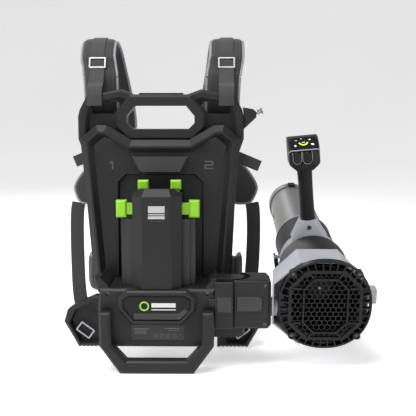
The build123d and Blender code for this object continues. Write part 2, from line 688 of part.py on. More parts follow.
with BuildPart(Plane(origin=(arm_end - 23.5, axle_y, axle_z), z_dir=(1, 0, 0))) as tilt_axle:
    Cylinder(tilt_axle_r, blower_x - arm_end + 23.5 - shroud_wide + 8, align=(Align.CENTER, Align.CENTER, Align.MIN))

cover_half_x = (arm_end - swing_x) / 2 - 3
cover_mid_x = (arm_end + swing_x) / 2 - 2
with BuildPart() as arm_cover:
    with BuildSketch(rear(arm_rear - gap)):
        with Locations((cover_mid_x, (arm_low + arm_high) / 2)):
            Rectangle(2 * cover_half_x, arm_high - arm_low - 4)
    extrude(amount=5)
    chamfer(arm_cover.faces().sort_by(Axis.Y)[0].edges(), 2)
    with BuildSketch(rear(arm_rear - 5)):
        with Locations((cover_mid_x - 4, panel_z)):
            RectangleRounded(2 * cover_half_x - 18, panel_high, 4)
    extrude(amount=4, taper=20)
    for z in (arm_high - 12, arm_low + 10):
        with Locations(Plane(origin=(arm_end - 13, arm_rear - gap - 5, z), z_dir=(0, -1, 0))):
            CounterBoreHole(radius=2.2, counter_bore_radius=4.2, counter_bore_depth=2.5, depth=6)
with BuildPart() as arm_screws:
    for z in (arm_high - 12, arm_low + 10):
        with Locations(Plane(origin=(arm_end - 13, arm_rear - gap - 5 + 2.5 - gap / 4, z), z_dir=(0, -1, 0))):
            Cylinder(3.8, 2, align=(Align.CENTER, Align.CENTER, Align.MIN))

with BuildPart() as swing_pin:
    with BuildSketch(Plane.XY.offset(low_lug)):
        with Locations((swing_x, swing_y)):
            Circle(pin_r)
    extrude(amount=arm_high - 1 - low_lug)

# ======================= the blower, level, about the Y axis =======================
# These pieces are drawn with the blower's axis along Y and the grille's face at y = 0,
# then all are turned up by the rest tilt.

place = Location((blower_x, 0, blower_z), (blower_tilt, 0, 0))


def turned(points, mode=Mode.ADD):
    """A round piece about the blower's axis, from its profile of (radius, place along the axis)."""
    profile = Face(Wire.make_polygon([(r, s, 0) for r, s in points], close=True))
    revolve(profile, axis=Axis.Y, mode=mode)


def eight_loft(start, start_outline, end, end_outline, mode=Mode.ADD):
    """A straight loft between two eight-sided outlines at two places along the axis."""
    sections = []
    for s, outline in ((start, start_outline), (end, end_outline)):
        sections.append(Face(Wire.make_polygon([(x, s, z) for x, z in outline], close=True)))
    loft(sections, ruled=True, mode=mode)


def shroud_outline(inset, narrow):
    """The shroud's lopsided octagon, drawn in by inset, and by narrow on its sides and underside."""
    left, right = shroud_wide + 2 - narrow - inset, shroud_out - narrow - inset
    high, low = shroud_high - inset, shroud_high + 6 - narrow - inset
    return [(36 - inset / 2, high), (right, 38 - inset / 2), (right, inset / 2 - 50), (44 - inset / 2, -low),
            (inset / 2 - 54, -low), (-left, inset / 2 - 48), (-left, 40 - inset / 2), (inset / 2 - 52, high)]


with BuildPart() as intake_shroud:
    eight_loft(shroud_start, shroud_outline(0, 0), shroud_end, shroud_outline(0, 6))
    eight_loft(shroud_start - 1, shroud_outline(shell, 0), shroud_end - shell, shroud_outline(shell, 6),
               mode=Mode.SUBTRACT)
    # the trunnion on the arm's side, the tab on the other side, and the bore for the fan case
    with Locations(Plane(origin=(-shroud_wide - 2.5, trunnion_s, trunnion_h), z_dir=(1, 0, 0))):
        Cylinder(20, 12, align=(Align.CENTER, Align.CENTER, Align.MIN))
        Cylinder(tilt_axle_r + gap, 40, align=(Align.CENTER, Align.CENTER, Align.CENTER), mode=Mode.SUBTRACT)
    with Locations((shroud_out + 8, trunnion_s + 4, 6.0)):
        Box(26, 26, 32)
    turned([(0, shroud_start), (fan_case_r + gap, shroud_start), (fan_case_r + gap, shroud_end + 1),
            (0, shroud_end + 1)], mode=Mode.SUBTRACT)
face_cut = 36.0
hub_cut = 23.0


def cage_radius(angle, half):
    """How far a rounded-square outline of that half width reaches at an angle in radians."""
    reach = abs(math.cos(angle)) ** cage_power + abs(math.sin(angle)) ** cage_power
    return half / reach ** (1 / cage_power)


def cage_outline(half):
    """The rounded-square outline as straight runs, two to each rib."""
    angles = [math.pi * k / rib_count for k in range(2 * rib_count)]
    return [(cage_radius(a, half) * math.cos(a), cage_radius(a, half) * math.sin(a)) for a in angles]


ring_inner = face_half_out - 6
mesh_cells = []
for row in range(-8, 9):
    for column in range(-8, 9):
        x = (column + 0.5 * (row % 2)) * mesh_pitch
        z = row * mesh_pitch * math.sqrt(0.75)
        if max(abs(x), abs(z)) < ring_inner and abs(x) + abs(z) < 2 * ring_inner - face_cut + 2:
            mesh_cells.append((x, z))

with BuildPart() as intake_grille:
    # outer cage and face ring, the honeycomb plate and the raised ring on it
    with BuildSketch(rear(cage_end)):
        polygon(cage_outline(cage_half))
        polygon(cage_outline(cage_half - cage_wall), mode=Mode.SUBTRACT)
    extrude(amount=cage_end - cage_front)
    with BuildSketch(rear(12)):
        polygon(eight(face_half_out, face_half_out, face_cut))
        polygon(eight(ring_inner, ring_inner, face_cut - 2), mode=Mode.SUBTRACT)
    extrude(amount=7)
    with BuildSketch(rear(12)):
        polygon(eight(ring_inner + 1, ring_inner + 1, face_cut - 1))
        with Locations(*mesh_cells):
            RegularPolygon(mesh_pitch / 2 - mesh_bar / 2, 6, major_radius=False, rotation=30, mode=Mode.SUBTRACT)
    extrude(amount=4)
    with BuildSketch(rear(9)):
        polygon(eight(hub_wide, hub_high, hub_cut))
        polygon(eight(hub_wide - 3, hub_high - 3, hub_cut - 1.5), mode=Mode.SUBTRACT)
    extrude(amount=8)
    # eight spokes from the raised ring's corners to the face ring's
    for inside, outside in zip(eight(hub_wide, hub_high, hub_cut), eight(face_half_out, face_half_out, face_cut)):
        near, far = Vector(inside[0], 9, inside[1]), Vector(outside[0], 9, outside[1])
        run = far - near
        with BuildSketch(Plane(origin=near + run * 0.5, x_dir=run, z_dir=(0, -1, 0))):
            Rectangle(run.length - 4, 3)
    extrude(amount=5)
    # ribs that slant back from the face ring to the cage's ring
    for k in range(rib_count):
        angle = 2 * math.pi * (k + 0.5) / rib_count
        out = Vector(math.cos(angle), 0, math.sin(angle))
        along = Vector(-math.sin(angle), 0, math.cos(angle))
        flat = face_half_out / max(abs(out.X), abs(out.Z))
        near = min(flat, (2 * face_half_out - face_cut) / (abs(out.X) + abs(out.Z)))
        run = cage_radius(angle, cage_half) - near
        with BuildSketch(Plane(origin=out * (near - 2) - along * 1.2, x_dir=out, z_dir=along)):
            polygon([(0, 5.5), (run + 1, cage_front - 1), (run + 1, cage_end - 1), (0, 12)])
    extrude(amount=2.4)
    # four screw bosses
    boss_at = cage_radius(math.pi / 4, cage_half) - 4
    with Locations(Plane(origin=(0, cage_end, 0), z_dir=(0, -1, 0))):
        with PolarLocations(boss_at, 4, start_angle=45):
            Cylinder(7.5, boss_high, align=(Align.CENTER, Align.CENTER, Align.MIN))
    with Locations(Plane(origin=(0, cage_end - boss_high + 5, 0), z_dir=(0, -1, 0))):
        with PolarLocations(boss_at, 4, start_angle=45):
            Cylinder(4.4, 6, align=(Align.CENTER, Align.CENTER, Align.MIN), mode=Mode.SUBTRACT)
with BuildPart() as grille_screws:
    with Locations(Plane(origin=(0, cage_end - boss_high + 5 - gap / 4, 0), z_dir=(0, -1, 0))):
        with PolarLocations(boss_at, 4, start_angle=45):
            Cylinder(4, 2.5, align=(Align.CENTER, Align.CENTER, Align.MIN))

fan_start = fan_case_end - 124.0
bore_r = fan_case_r - shell
with BuildPart() as fan_case:
    turned([(bore_r, shroud_start + 6), (fan_case_r, shroud_start + 6), (fan_case_r, fan_case_end),
            (duct_r, fan_case_end), (duct_r, duct_end), (duct_r - shell, duct_end),
            (duct_r - shell, fan_case_end + 20), (bore_r, fan_case_end - 8)])

hub = 34.0
blades = 9
vanes = 7
motor_start = fan_start + 62.0
with BuildPart() as fan_rotor:
    turned([(4 + gap / 8, fan_start), (hub - 8, fan_start), (hub, fan_start + 12), (hub, fan_start + 46),
            (hub - 4, fan_start + 46), (hub - 4, fan_start + 14), (4 + gap / 8, fan_start + 14)])
    for k in range(blades):
        angle = math.radians(360.0 / blades * k)
        out = Vector(math.cos(angle), 0, math.sin(angle))
        chord = Vector(-math.sin(angle) * 0.77, 0.64, math.cos(angle) * 0.77)
        with BuildSketch(Plane(origin=out * (hub - 2) + Vector(0, fan_start + 28, 0), x_dir=chord, z_dir=out)):
            Rectangle(36, 2.6)
        extrude(amount=bore_r - 2.0 - hub)
with BuildPart() as motor_shaft:
    turned([(0, fan_start - 6), (4, fan_start - 6), (4, motor_start + 78), (0, motor_start + 78)])
with BuildPart() as motor_can:
    turned([(10, motor_start - 10), (hub - 5, motor_start - 10), (hub - 5, motor_start + 70), (10, motor_start + 70)])
with BuildPart() as motor_bearings:
    for s in (motor_start - 10, motor_start + 62):
        turned([(4 + running, s), (10 - gap / 4, s), (10 - gap / 4, s + 8), (4 + running, s + 8)])
with BuildPart() as stator_vanes:
    turned([(hub - 4.6, motor_start - 8), (hub, motor_start - 8), (hub, motor_start + 80), (8, motor_start + 150),
            (0, motor_start + 152), (0, motor_start + 146), (hub - 4.6, motor_start + 80)])
    for k in range(vanes):
        angle = math.radians(360.0 / vanes * k)
        out = Vector(math.cos(angle), 0, math.sin(angle))
        across = Vector(-math.sin(angle), 0, math.cos(angle))
        with BuildSketch(Plane(origin=out * (hub - 1) + Vector(0, motor_start + 18, 0), x_dir=across, z_dir=out)):
            Rectangle(3, 42)
        extrude(amount=bore_r - gap - hub + 1)

with BuildPart() as coupling_ring:
    turned([(duct_r + gap, fan_case_end + 2 * collar_half + 14), (duct_r + 4, fan_case_end + 2 * collar_half + 14),
            (duct_r + 5, coupling_end - 14), (duct_r + 2, coupling_end), (tube_r + gap, coupling_end),
            (tube_r + gap, duct_end + 2), (duct_r + gap, duct_end + 2)])
with BuildPart() as blower_tube:
    turned([(tube_r, duct_end + 8), (tube_end_r, tube_end), (tube_end_r - shell, tube_end), (tube_r - shell, duct_end + 8)])
ring_r = tube_end_r + 4.0
with BuildPart() as tube_end_ring:
    turned([(tube_end_r + gap + 0.3, tube_end - 24), (ring_r, tube_end - 24), (ring_r, tube_end + 10),
            (ring_r - 2, tube_end + 12), (tube_end_r - shell, tube_end + 12), (tube_end_r - shell, tube_end + gap),
            (tube_end_r + gap + 0.3, tube_end + gap)])
    with Locations((0, tube_end - 12, ring_r)):
        Box(21, 26, 9, mode=Mode.SUBTRACT)
    for x in (-12.5, 12.5):
        with Locations((x, tube_end - 18, ring_r + 0.5)):
            Box(4, 8, 7)
    with Locations(Plane(origin=(0, tube_end - 18, ring_r + 1), z_dir=(1, 0, 0))):
        Cylinder(1.5 + running, 40, mode=Mode.SUBTRACT)
with BuildPart() as tube_latch:
    with BuildSketch(Plane.YZ.offset(-9.5)):
        polygon([(tube_end - 28, tube_end_r + 3.5), (tube_end - 28, tube_end_r + 7.5), (tube_end - 12, tube_end_r + 9),
                 (tube_end - 2, tube_end_r + 9), (tube_end - 2, tube_end_r + 4), (tube_end - 20, tube_end_r + 3)])
    extrude(amount=19)
    with Locations(Plane(origin=(0, tube_end - 18, ring_r + 1), z_dir=(1, 0, 0))):
        Cylinder(1.5, 28)

# ======================= the handle =======================

collar_start = fan_case_end + 3.0
collar_stop = collar_start + 2 * collar_half
collar_mid = (collar_start + collar_stop) / 2
with BuildPart() as handle_collar:
    turned([(duct_r + gap, collar_start), (collar_r - 1, collar_start), (collar_r, collar_mid),
            (collar_r - 3, collar_stop), (duct_r + gap, collar_stop)])
    with BuildSketch(Plane.XY.offset(duct_r + 4)):
        with Locations((0, collar_mid)):
            RectangleRounded(84, 2 * collar_half - 2, 10)
    with BuildSketch(Plane.XY.offset(saddle_top)):
        with Locations((0, collar_mid)):
            RectangleRounded(grip_wide + 6, grip_deep + 6, 14)
    loft()
    with Locations(Plane(origin=(0, collar_start + 4, saddle_top - 17), z_dir=(0, -1, 0))):
        CounterBoreHole(radius=3, counter_bore_radius=6, counter_bore_depth=10, depth=20)
with BuildPart() as collar_bore:
    turned([(0, collar_start - 1), (duct_r + gap, collar_start - 1), (duct_r + gap, collar_stop + 1), (0, collar_stop + 1)])

# Clamp lever on the collar's left, which grips the duct when it lies against the coupling.
lever_x = -(collar_r + 5.5)
lever_s = collar_stop - 8
with BuildPart() as clamp_lever:
    with Locations((lever_x, lever_s, 0)):
        Cylinder(5, 26)
        Cylinder(2.5, 40)
    with Locations((lever_x - 1.5, lever_s + 21, 0)):
        Box(5, 42, 24)
with BuildPart() as lever_lugs:
    for z in (16.5, -16.5):
        with Locations((lever_x + 4, lever_s, z)):
            Box(18, 12, 5)
    with Locations((lever_x, lever_s, 0)):
        Cylinder(2.5 + running, 60, mode=Mode.SUBTRACT)
collar_part = handle_collar.part + lever_lugs.part - collar_bore.part

grip_start = saddle_top + gap
trigger_at = collar_mid + grip_deep / 2
with BuildPart() as grip:
    with BuildSketch(Plane.XY.offset(grip_start)):
        with Locations((0, collar_mid)):
            Ellipse(grip_wide / 2, grip_deep / 2)
    with BuildSketch(Plane.XY.offset((grip_start + grip_top) / 2)):
        with Locations((0, collar_mid)):
            Ellipse(grip_wide / 2 - 1.2, grip_deep / 2 - 1)
    with BuildSketch(Plane.XY.offset(grip_top)):
        with Locations((0, collar_mid)):
            Ellipse(grip_wide / 2, grip_deep / 2)
    loft()
    with Locations((0, trigger_at - 4, grip_top - 34)):
        Box(17, 20, 70, mode=Mode.SUBTRACT)

head_low = grip_top + gap
head_back = collar_mid - 30.0
thumb_z = head_low + 34.0
with BuildPart() as control_head:
    with BuildSketch(Plane.YZ.offset(-head_half)):
        polygon([(head_back + 8, head_low), (head_back, head_low + funnel), (head_back, head_low + head_face),
                 (head_back + 31, head_top), (head_back + 56, head_top), (head_back + 66, head_top - 12),
                 (head_back + 62, head_low)])
    extrude(amount=2 * head_half)
    chamfer(control_head.edges().filter_by(Axis.Z), 6)
    chamfer(control_head.faces().sort_by(Axis.Z)[0].edges().filter_by(Axis.Y), funnel)
    # wells for the two thumb buttons and the trigger's root
    for x, half in ((-17.0, 9.0), (6.0, 10.0)):
        with Locations((x, head_back + 3, thumb_z)):
            Box(2 * half, 14, 29, mode=Mode.SUBTRACT)
    with Locations((0, trigger_at + 2, head_low + 6)):
        Box(17, 22, 14, mode=Mode.SUBTRACT)
display_rise = head_top - head_low - head_face
slope = Plane(origin=(0, head_back + 15.5, head_top - display_rise / 2), x_dir=(1, 0, 0),
              z_dir=(0, -display_rise, 31.0))
with BuildPart() as display_panel:
    with BuildSketch(slope.offset(gap)):
        polygon(both([(head_half - 12, 17.0), (head_half - 3, 8.0), (head_half - 3, -17.0)]))
    extrude(amount=1.6)

thumb_parts = {}
for name, x, half in (("mode_button", -17.0, 8.2), ("boost_button", 6.0, 9.2)):
    with BuildPart() as thumb:
        with BuildSketch(rear(head_back + 5)):
            with Locations((x, thumb_z)):
                SlotOverall(26, 2 * half, rotation=90)
        extrude(amount=7.5)
        chamfer(thumb.faces().sort_by(Axis.Y)[0].edges(), 1.2)
    thumb_parts[name] = thumb.part

with BuildPart() as trigger:
    with BuildSketch(Plane.YZ.offset(-7.0)):
        polygon([(trigger_at - 2, head_low + 10), (trigger_at + 9, head_low + 10), (trigger_at + 9, head_low - 4),
                 (trigger_at + 6, head_low - 22), (trigger_at + 9, head_low - 44), (trigger_at + 3, head_low - 45),
                 (trigger_at - 1, head_low - 22)])
    extrude(amount=14.0)

# ======================= all pieces =======================

pieces = {
    "back_frame": back_frame.part, "handle_pad": handle_pad.part, "rear_cover": cover_body,
    "tower_header": tower_header.part, "lower_housing": lower_housing.part + hinge_lugs.part,
    "hinge_cover": hinge_cover.part, "badge_panel": badge_panel.part,
    "rating_plate": rating_plate.part, "rear_foot": rear_foot.part,
    **wings, "battery_tower": battery_tower.part, "tower_cover": tower_cover.part,
    "battery_rails": battery_rails.part, "battery_terminals": battery_terminals.part,
    **latch_parts, "control_unit": control_unit.part,
    "pack_screws": pack_screws.part, "hanger_bracket": hanger_bracket.part, "hanger_stud": hanger_stud.part,
    **soft_parts, "strap_sliders": strap_sliders.part, "back_pad": back_pad.part, "lumbar_pad": lumbar_pad.part,
    "hip_belt": hip_belt.part, "belt_webbing": belt_webbing.part, "belt_buckle": belt_buckle.part,
    "arm_housing": arm_body, "arm_cover": arm_cover.part, "arm_screws": arm_screws.part,
    "swing_pin": swing_pin.part, "tilt_axle": tilt_axle.part,
}
blower_pieces = {
    "intake_shroud": intake_shroud.part, "intake_grille": intake_grille.part, "grille_screws": grille_screws.part,
    "fan_case": fan_case.part, "fan_rotor": fan_rotor.part, "motor_shaft": motor_shaft.part,
    "motor_can": motor_can.part, "motor_bearings": motor_bearings.part, "stator_vanes": stator_vanes.part,
    "coupling_ring": coupling_ring.part, "blower_tube": blower_tube.part, "tube_end_ring": tube_end_ring.part,
    "tube_latch": tube_latch.part,
}
handle_pieces = {
    "handle_collar": collar_part, "clamp_lever": clamp_lever.part, "grip": grip.part,
    "control_head": control_head.part, "display_panel": display_panel.part,
    **thumb_parts, "trigger": trigger.part,
}
rolled = place * Location((0, 0, 0), (0, -handle_lean, 0))
pieces.update({name: part.moved(place) for name, part in blower_pieces.items()})
pieces.update({name: part.moved(rolled) for name, part in handle_pieces.items()})

os.makedirs("parts", exist_ok=True)
for name, part in pieces.items():
    part.label = name
    export_step(part, f"parts/{name}.step")
print(len(pieces), "pieces")
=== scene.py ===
"""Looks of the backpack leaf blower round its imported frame.
Metres; +Z up, +Y the way the wearer faces, the battery side towards -Y."""
import json
import math

import bmesh
import bpy
import numpy as np
from mathutils import Matrix, Vector


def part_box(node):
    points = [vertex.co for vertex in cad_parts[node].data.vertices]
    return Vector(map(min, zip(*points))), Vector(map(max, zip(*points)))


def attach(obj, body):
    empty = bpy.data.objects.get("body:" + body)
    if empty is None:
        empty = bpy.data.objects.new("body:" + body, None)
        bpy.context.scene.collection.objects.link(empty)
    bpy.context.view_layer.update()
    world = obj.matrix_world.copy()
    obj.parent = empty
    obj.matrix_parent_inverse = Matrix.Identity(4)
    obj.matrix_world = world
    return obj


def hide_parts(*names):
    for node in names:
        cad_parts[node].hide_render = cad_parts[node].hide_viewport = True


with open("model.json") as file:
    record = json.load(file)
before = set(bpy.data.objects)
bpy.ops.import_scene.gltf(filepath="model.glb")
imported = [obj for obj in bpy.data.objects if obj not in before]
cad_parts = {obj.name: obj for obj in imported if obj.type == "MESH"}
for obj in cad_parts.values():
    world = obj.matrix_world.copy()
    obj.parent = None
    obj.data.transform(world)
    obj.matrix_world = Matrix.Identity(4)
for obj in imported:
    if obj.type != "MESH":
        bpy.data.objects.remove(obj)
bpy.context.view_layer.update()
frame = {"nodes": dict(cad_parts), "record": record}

nodes = frame["nodes"]
record = frame["record"]
body_of_node = {n: b for b, members in record["behaviour"]["bodies"].items() for n in members}
slot_of_node = {row["node"]: row["material_slot"] for row in record["subparts"]}
joint = {j["name"]: j for j in record["behaviour"]["joints"]}
mm = 0.001

# ---------------------------------------------------------------- camera, floor and light

camera = bpy.data.objects.new("camera", bpy.data.cameras.new("camera"))
camera.location = (0.127, -1.5, 0.5417)
camera.rotation_euler = (math.radians(90 - 7.5), 0, math.radians(0.82))
camera.data.sensor_width = 36
camera.data.lens = 36 * 750 / 416
camera.data.clip_start = 0.05
bpy.context.scene.collection.objects.link(camera)
bpy.context.scene.camera = camera


def area_light(name, place, towards, size, power, colour=(1, 1, 1)):
    """A square soft light at place that faces the point towards."""
    light = bpy.data.objects.new(name, bpy.data.lights.new(name, "AREA"))
    light.data.size = size
    light.data.energy = power
    light.data.color = colour
    light.location = place
    light.rotation_euler = (Vector(towards) - Vector(place)).to_track_quat("-Z", "Y").to_euler()
    bpy.context.scene.collection.objects.link(light)


area_light("top_softbox", (-0.3, -0.6, 2.2), (0.12, 0.1, 0.3), 1.2, 50)
area_light("front_left_softbox", (-2.1, -1.1, 1.5), (0.1, 0.0, 0.35), 0.8, 24)
area_light("front_right_softbox", (2.0, -1.2, 0.9), (0.2, 0.0, 0.3), 0.7, 5)
area_light("rear_softbox", (-0.6, 2.6, 1.8), (0.1, 0.2, 0.35), 1.4, 22)

world = bpy.data.worlds.new("studio")
bpy.context.scene.world = world
world.use_nodes = True
backdrop = world.node_tree.nodes["Background"]
backdrop.inputs["Color"].default_value = (1, 1, 1, 1)
seen = world.node_tree.nodes.new("ShaderNodeLightPath")
level = world.node_tree.nodes.new("ShaderNodeMapRange")
level.inputs["To Min"].default_value = 0.2
level.inputs["To Max"].default_value = 1.0
world.node_tree.links.new(seen.outputs["Is Camera Ray"], level.inputs["Value"])
world.node_tree.links.new(level.outputs["Result"], backdrop.inputs["Strength"])
bpy.context.scene.view_settings.view_transform = "Standard"


def studio_floor():
    """A pale disc that rises behind the object in a smooth sweep, as height = rise * (distance past the edge)^2."""
    size, steps = 9.0, 60
    line = np.linspace(-size, size, steps)
    x, y = np.meshgrid(line, line, indexing="ij")
    z = 0.06 * np.maximum(0.0, np.hypot(x, y) - 3.0) ** 2
    floor = grid_piece("studio_floor", np.stack([x, y, z], -1))
    floor.data.materials.append(floor_paint())


# ---------------------------------------------------------------- meshes worked out from arrays

def mesh_piece(name, points, faces, uv=None, smooth=True):
    """A mesh from arrays of points and quads or polygons, with one UV per corner if given."""
    mesh = bpy.data.meshes.new(name)
    mesh.from_pydata(np.asarray(points, float).tolist(), [], [list(map(int, f)) for f in faces])
    if uv is not None:
        layer = mesh.uv_layers.new(name="UVMap")
        loops = np.empty(len(mesh.loops), dtype=np.int32)
        mesh.loops.foreach_get("vertex_index", loops)
        layer.data.foreach_set("uv", np.asarray(uv, np.float32)[loops].ravel())
    if smooth:
        mesh.polygons.foreach_set("use_smooth", np.ones(len(mesh.polygons), bool))
    mesh.update()
    piece = bpy.data.objects.new(name, mesh)
    bpy.context.scene.collection.objects.link(piece)
    return piece


def grid_faces(rows, columns, wrap=False):
    """Quads between neighbouring points of a grid; wrap joins the last column to the first."""
    r = np.arange(rows - 1)[:, None]
    c = np.arange(columns if wrap else columns - 1)[None, :]
    d = (c + 1) % columns
    quads = np.stack([r * columns + c, r * columns + d, (r + 1) * columns + d, (r + 1) * columns + c], -1)
    return quads.reshape(-1, 4)


def grid_piece(name, grid, wrap=False, caps=False, uv=None, smooth=True, flip=False):
    """A surface whose points are a rows x columns array; caps closes both ends of a wrapped one."""
    rows, columns = grid.shape[:2]
    faces = [list(f) for f in grid_faces(rows, columns, wrap)]
    if caps:
        faces.append(list(range(columns))[::-1])
        faces.append([(rows - 1) * columns + c for c in range(columns)])
    if flip:
        faces = [f[::-1] for f in faces]
    flat_uv = None if uv is None else uv.reshape(-1, 2)
    return mesh_piece(name, grid.reshape(-1, 3), faces, flat_uv, smooth)


def point_outwards(piece):
    """Turns every face of a closed piece outwards."""
    work = bmesh.new()
    work.from_mesh(piece.data)
    bmesh.ops.recalc_face_normals(work, faces=work.faces)
    work.to_mesh(piece.data)
    work.free()
    return piece


def smooth_line(points, count):
    """Points evenly spread by length along a Catmull-Rom curve through the given points (any columns)."""
    p = np.asarray(points, float)
    p = np.vstack([2 * p[0] - p[1], p, 2 * p[-1] - p[-2]])
    t = np.linspace(0, 1, 24, endpoint=False)[:, None]
    runs = []
    for a, b, c, d in zip(p[:-3], p[1:-2], p[2:-1], p[3:]):
        runs.append(0.5 * (2 * b + (c - a) * t + (2 * a - 5 * b + 4 * c - d) * t ** 2
                           + (3 * b - a - 3 * c + d) * t ** 3))
    fine = np.vstack(runs + [p[-2:-1]])
    length = np.r_[0, np.cumsum(np.linalg.norm(np.diff(fine[:, :3], axis=0), axis=1))]
    even = np.linspace(0, length[-1], count)
    return np.stack([np.interp(even, length, fine[:, k]) for k in range(fine.shape[1])], -1), even


def unit(v):
    return v / np.linalg.norm(v, axis=-1, keepdims=True)


def frame_along(line, reference):
    """Along, across and outward directions of a line: across is the reference less its part along the line,
    and outward is across x along."""
    along = unit(np.gradient(line, axis=0))
    across = unit(np.asarray(reference, float) - along * (along @ np.asarray(reference, float))[:, None])
    return along, across, np.cross(across, along)


def band_surface(line, reference, half_width, half_thick, corner=0.55, columns=40, lift=0.0):
    """Superellipse sections carried along a line: across = half_width * c^corner, outward = half_thick * s^0.8,
    with c and s the cosine and sine round the section and their signs kept."""
    along, across, outward = frame_along(line, reference)
    turn = np.linspace(0, 2 * math.pi, columns, endpoint=False)
    c = np.sign(np.cos(turn)) * np.abs(np.cos(turn)) ** corner
    s = np.sign(np.sin(turn)) * np.abs(np.sin(turn)) ** 0.8
    grid = (line[:, None] + across[:, None] * (half_width[:, None] * c)[..., None]
            + outward[:, None] * (half_thick[:, None] * s + lift)[..., None])
    return grid, turn


def metre_uv(line, columns, width):
    """UVs in tenths of a metre: round the section first, then along the line."""
    length = np.r_[0, np.cumsum(np.linalg.norm(np.diff(line, axis=0), axis=1))]
    u = np.linspace(0, 2 * width, columns)
    return np.stack(np.broadcast_arrays(u[None, :] * 10, length[:, None] * 10), -1)


def tube_piece(name, line, radius, sides=10, closed=False, squash=1.0):
    """A round cord of that radius along a line, its sections square to the line."""
    along = unit(np.gradient(line, axis=0))
    up = np.array([0.0, 0.0, 1.0])
    side = np.cross(along, up)
    steep = np.linalg.norm(side, axis=1) < 0.2
    side[steep] = np.cross(along[steep], [0.0, 1.0, 0.0])
    side = unit(side)
    lift = np.cross(side, along)
    turn = np.linspace(0, 2 * math.pi, sides, endpoint=False)
    grid = (line[:, None] + radius * (side[:, None] * np.cos(turn)[None, :, None]
            + squash * lift[:, None] * np.sin(turn)[None, :, None]))
    return point_outwards(grid_piece(name, grid, wrap=True, caps=True))


# ---------------------------------------------------------------- shared shader effects

def new_group(name, ins, outs):
    """A shader node group with its sockets; returns the group and its two end nodes."""
    group = bpy.data.node_groups.new(name, "ShaderNodeTree")
    for label, kind, value in ins:
        socket = group.interface.new_socket(label, in_out="INPUT", socket_type=kind)
        if value is not None:
            socket.default_value = value
    for label, kind in outs:
        group.interface.new_socket(label, in_out="OUTPUT", socket_type=kind)
    start = group.nodes.new("NodeGroupInput")
    end = group.nodes.new("NodeGroupOutput")
    return group, start, end


def node(tree, kind, links=None, **settings):
    """A node with its settings, and links from {input name or number: value or output socket}."""
    made = tree.nodes.new(kind)
    for key, value in settings.items():
        setattr(made, key, value)
    for key, value in (links or {}).items():
        if isinstance(value, bpy.types.NodeSocket):
            tree.links.new(value, made.inputs[key])
        else:
            made.inputs[key].default_value = value
    return made


def math_node(tree, operation, a, b=0.0, c=0.0, clamp=False):
    made = node(tree, "ShaderNodeMath", {0: a, 1: b, 2: c}, operation=operation, use_clamp=clamp)
    return made.outputs[0]


def moulded_grain():
    """Spark-eroded plastic: a fine grain for the height, and broad faint patches for tone and gloss."""
    group, start, end = new_group(
        "moulded_grain",
        [("Grain Size", "NodeSocketFloat", 0.0005), ("Patch Size", "NodeSocketFloat", 0.06)],
        [("Height", "NodeSocketFloat"), ("Patches", "NodeSocketFloat")])
    where = node(group, "ShaderNodeTexCoord").outputs["Object"]
    fine = math_node(group, "DIVIDE", 1.0, start.outputs["Grain Size"])
    broad = math_node(group, "DIVIDE", 1.0, start.outputs["Patch Size"])
    grain = node(group, "ShaderNodeTexNoise", {"Vector": where, "Scale": fine, "Detail": 2.0})
    patch = node(group, "ShaderNodeTexNoise", {"Vector": where, "Scale": broad, "Detail": 3.0})
    group.links.new(grain.outputs["Fac"], end.inputs["Height"])
    group.links.new(patch.outputs["Fac"], end.inputs["Patches"])
    return group


def painted_edge_highlight():
    """Painted edge highlight: how far a rounded normal turns from the real one, broken by noise, as a mask for
    painting edges paler where light would catch them.
    """
    group, start, end = new_group("painted_edge_highlight", [("Reach", "NodeSocketFloat", 0.0012)], [("Mask", "NodeSocketFloat")])
    rounded = node(group, "ShaderNodeBevel", {"Radius": start.outputs["Reach"]}, samples=4)
    real = node(group, "ShaderNodeNewGeometry").outputs["Normal"]
    near = node(group, "ShaderNodeVectorMath", {0: rounded.outputs[0], 1: real}, operation="DOT_PRODUCT")
    turned = math_node(group, "SUBTRACT", 1.0, near.outputs["Value"])
    sharp = math_node(group, "MULTIPLY", turned, 4.0, clamp=True)
    where = node(group, "ShaderNodeTexCoord").outputs["Object"]
    broken = node(group, "ShaderNodeTexNoise", {"Vector": where, "Scale": 45.0, "Detail": 4.0})
    mask = math_node(group, "MULTIPLY", sharp, broken.outputs["Fac"], clamp=True)
    group.links.new(mask, end.inputs["Mask"])
    return group


def woven_height():
    """Woven cloth on UVs in tenths of a metre: two crossed rows of threads, each a sine, over one another."""
    group, start, end = new_group(
        "woven_height",
        [("Threads Across", "NodeSocketFloat", 90.0), ("Threads Along", "NodeSocketFloat", 60.0)],
        [("Height", "NodeSocketFloat"), ("Threads", "NodeSocketFloat")])
    uv = node(group, "ShaderNodeUVMap").outputs["UV"]
    parts = node(group, "ShaderNodeSeparateXYZ", {0: uv})
    u = math_node(group, "MULTIPLY", parts.outputs["X"], start.outputs["Threads Across"])
    v = math_node(group, "MULTIPLY", parts.outputs["Y"], start.outputs["Threads Along"])
    waves = [math_node(group, "SINE", math_node(group, "MULTIPLY", w, 2 * math.pi)) for w in (u, v)]
    crossed = math_node(group, "MULTIPLY", waves[0], waves[1])
    half = math_node(group, "MULTIPLY_ADD", crossed, 0.5, 0.5)
    fuzz = node(group, "ShaderNodeTexNoise", {"Vector": uv, "Scale": 60.0, "Detail": 3.0})
    group.links.new(half, end.inputs["Height"])
    group.links.new(math_node(group, "MULTIPLY", half, fuzz.outputs["Fac"]), end.inputs["Threads"])
    return group


grain_group = moulded_grain()
edge_highlight_group = painted_edge_highlight()
weave_group = woven_height()


def new_material(name):
    """An empty material with its Principled shader; returns the material, its tree and the shader."""
    material = bpy.data.materials.new(name)
    material.use_nodes = True
    return material, material.node_tree, material.node_tree.nodes["Principled BSDF"]


def use_group(tree, group, **values):
    made = tree.nodes.new("ShaderNodeGroup")
    made.node_tree = group
    for label, value in values.items():
        made.inputs[label.replace("_", " ")].default_value = value
    return made


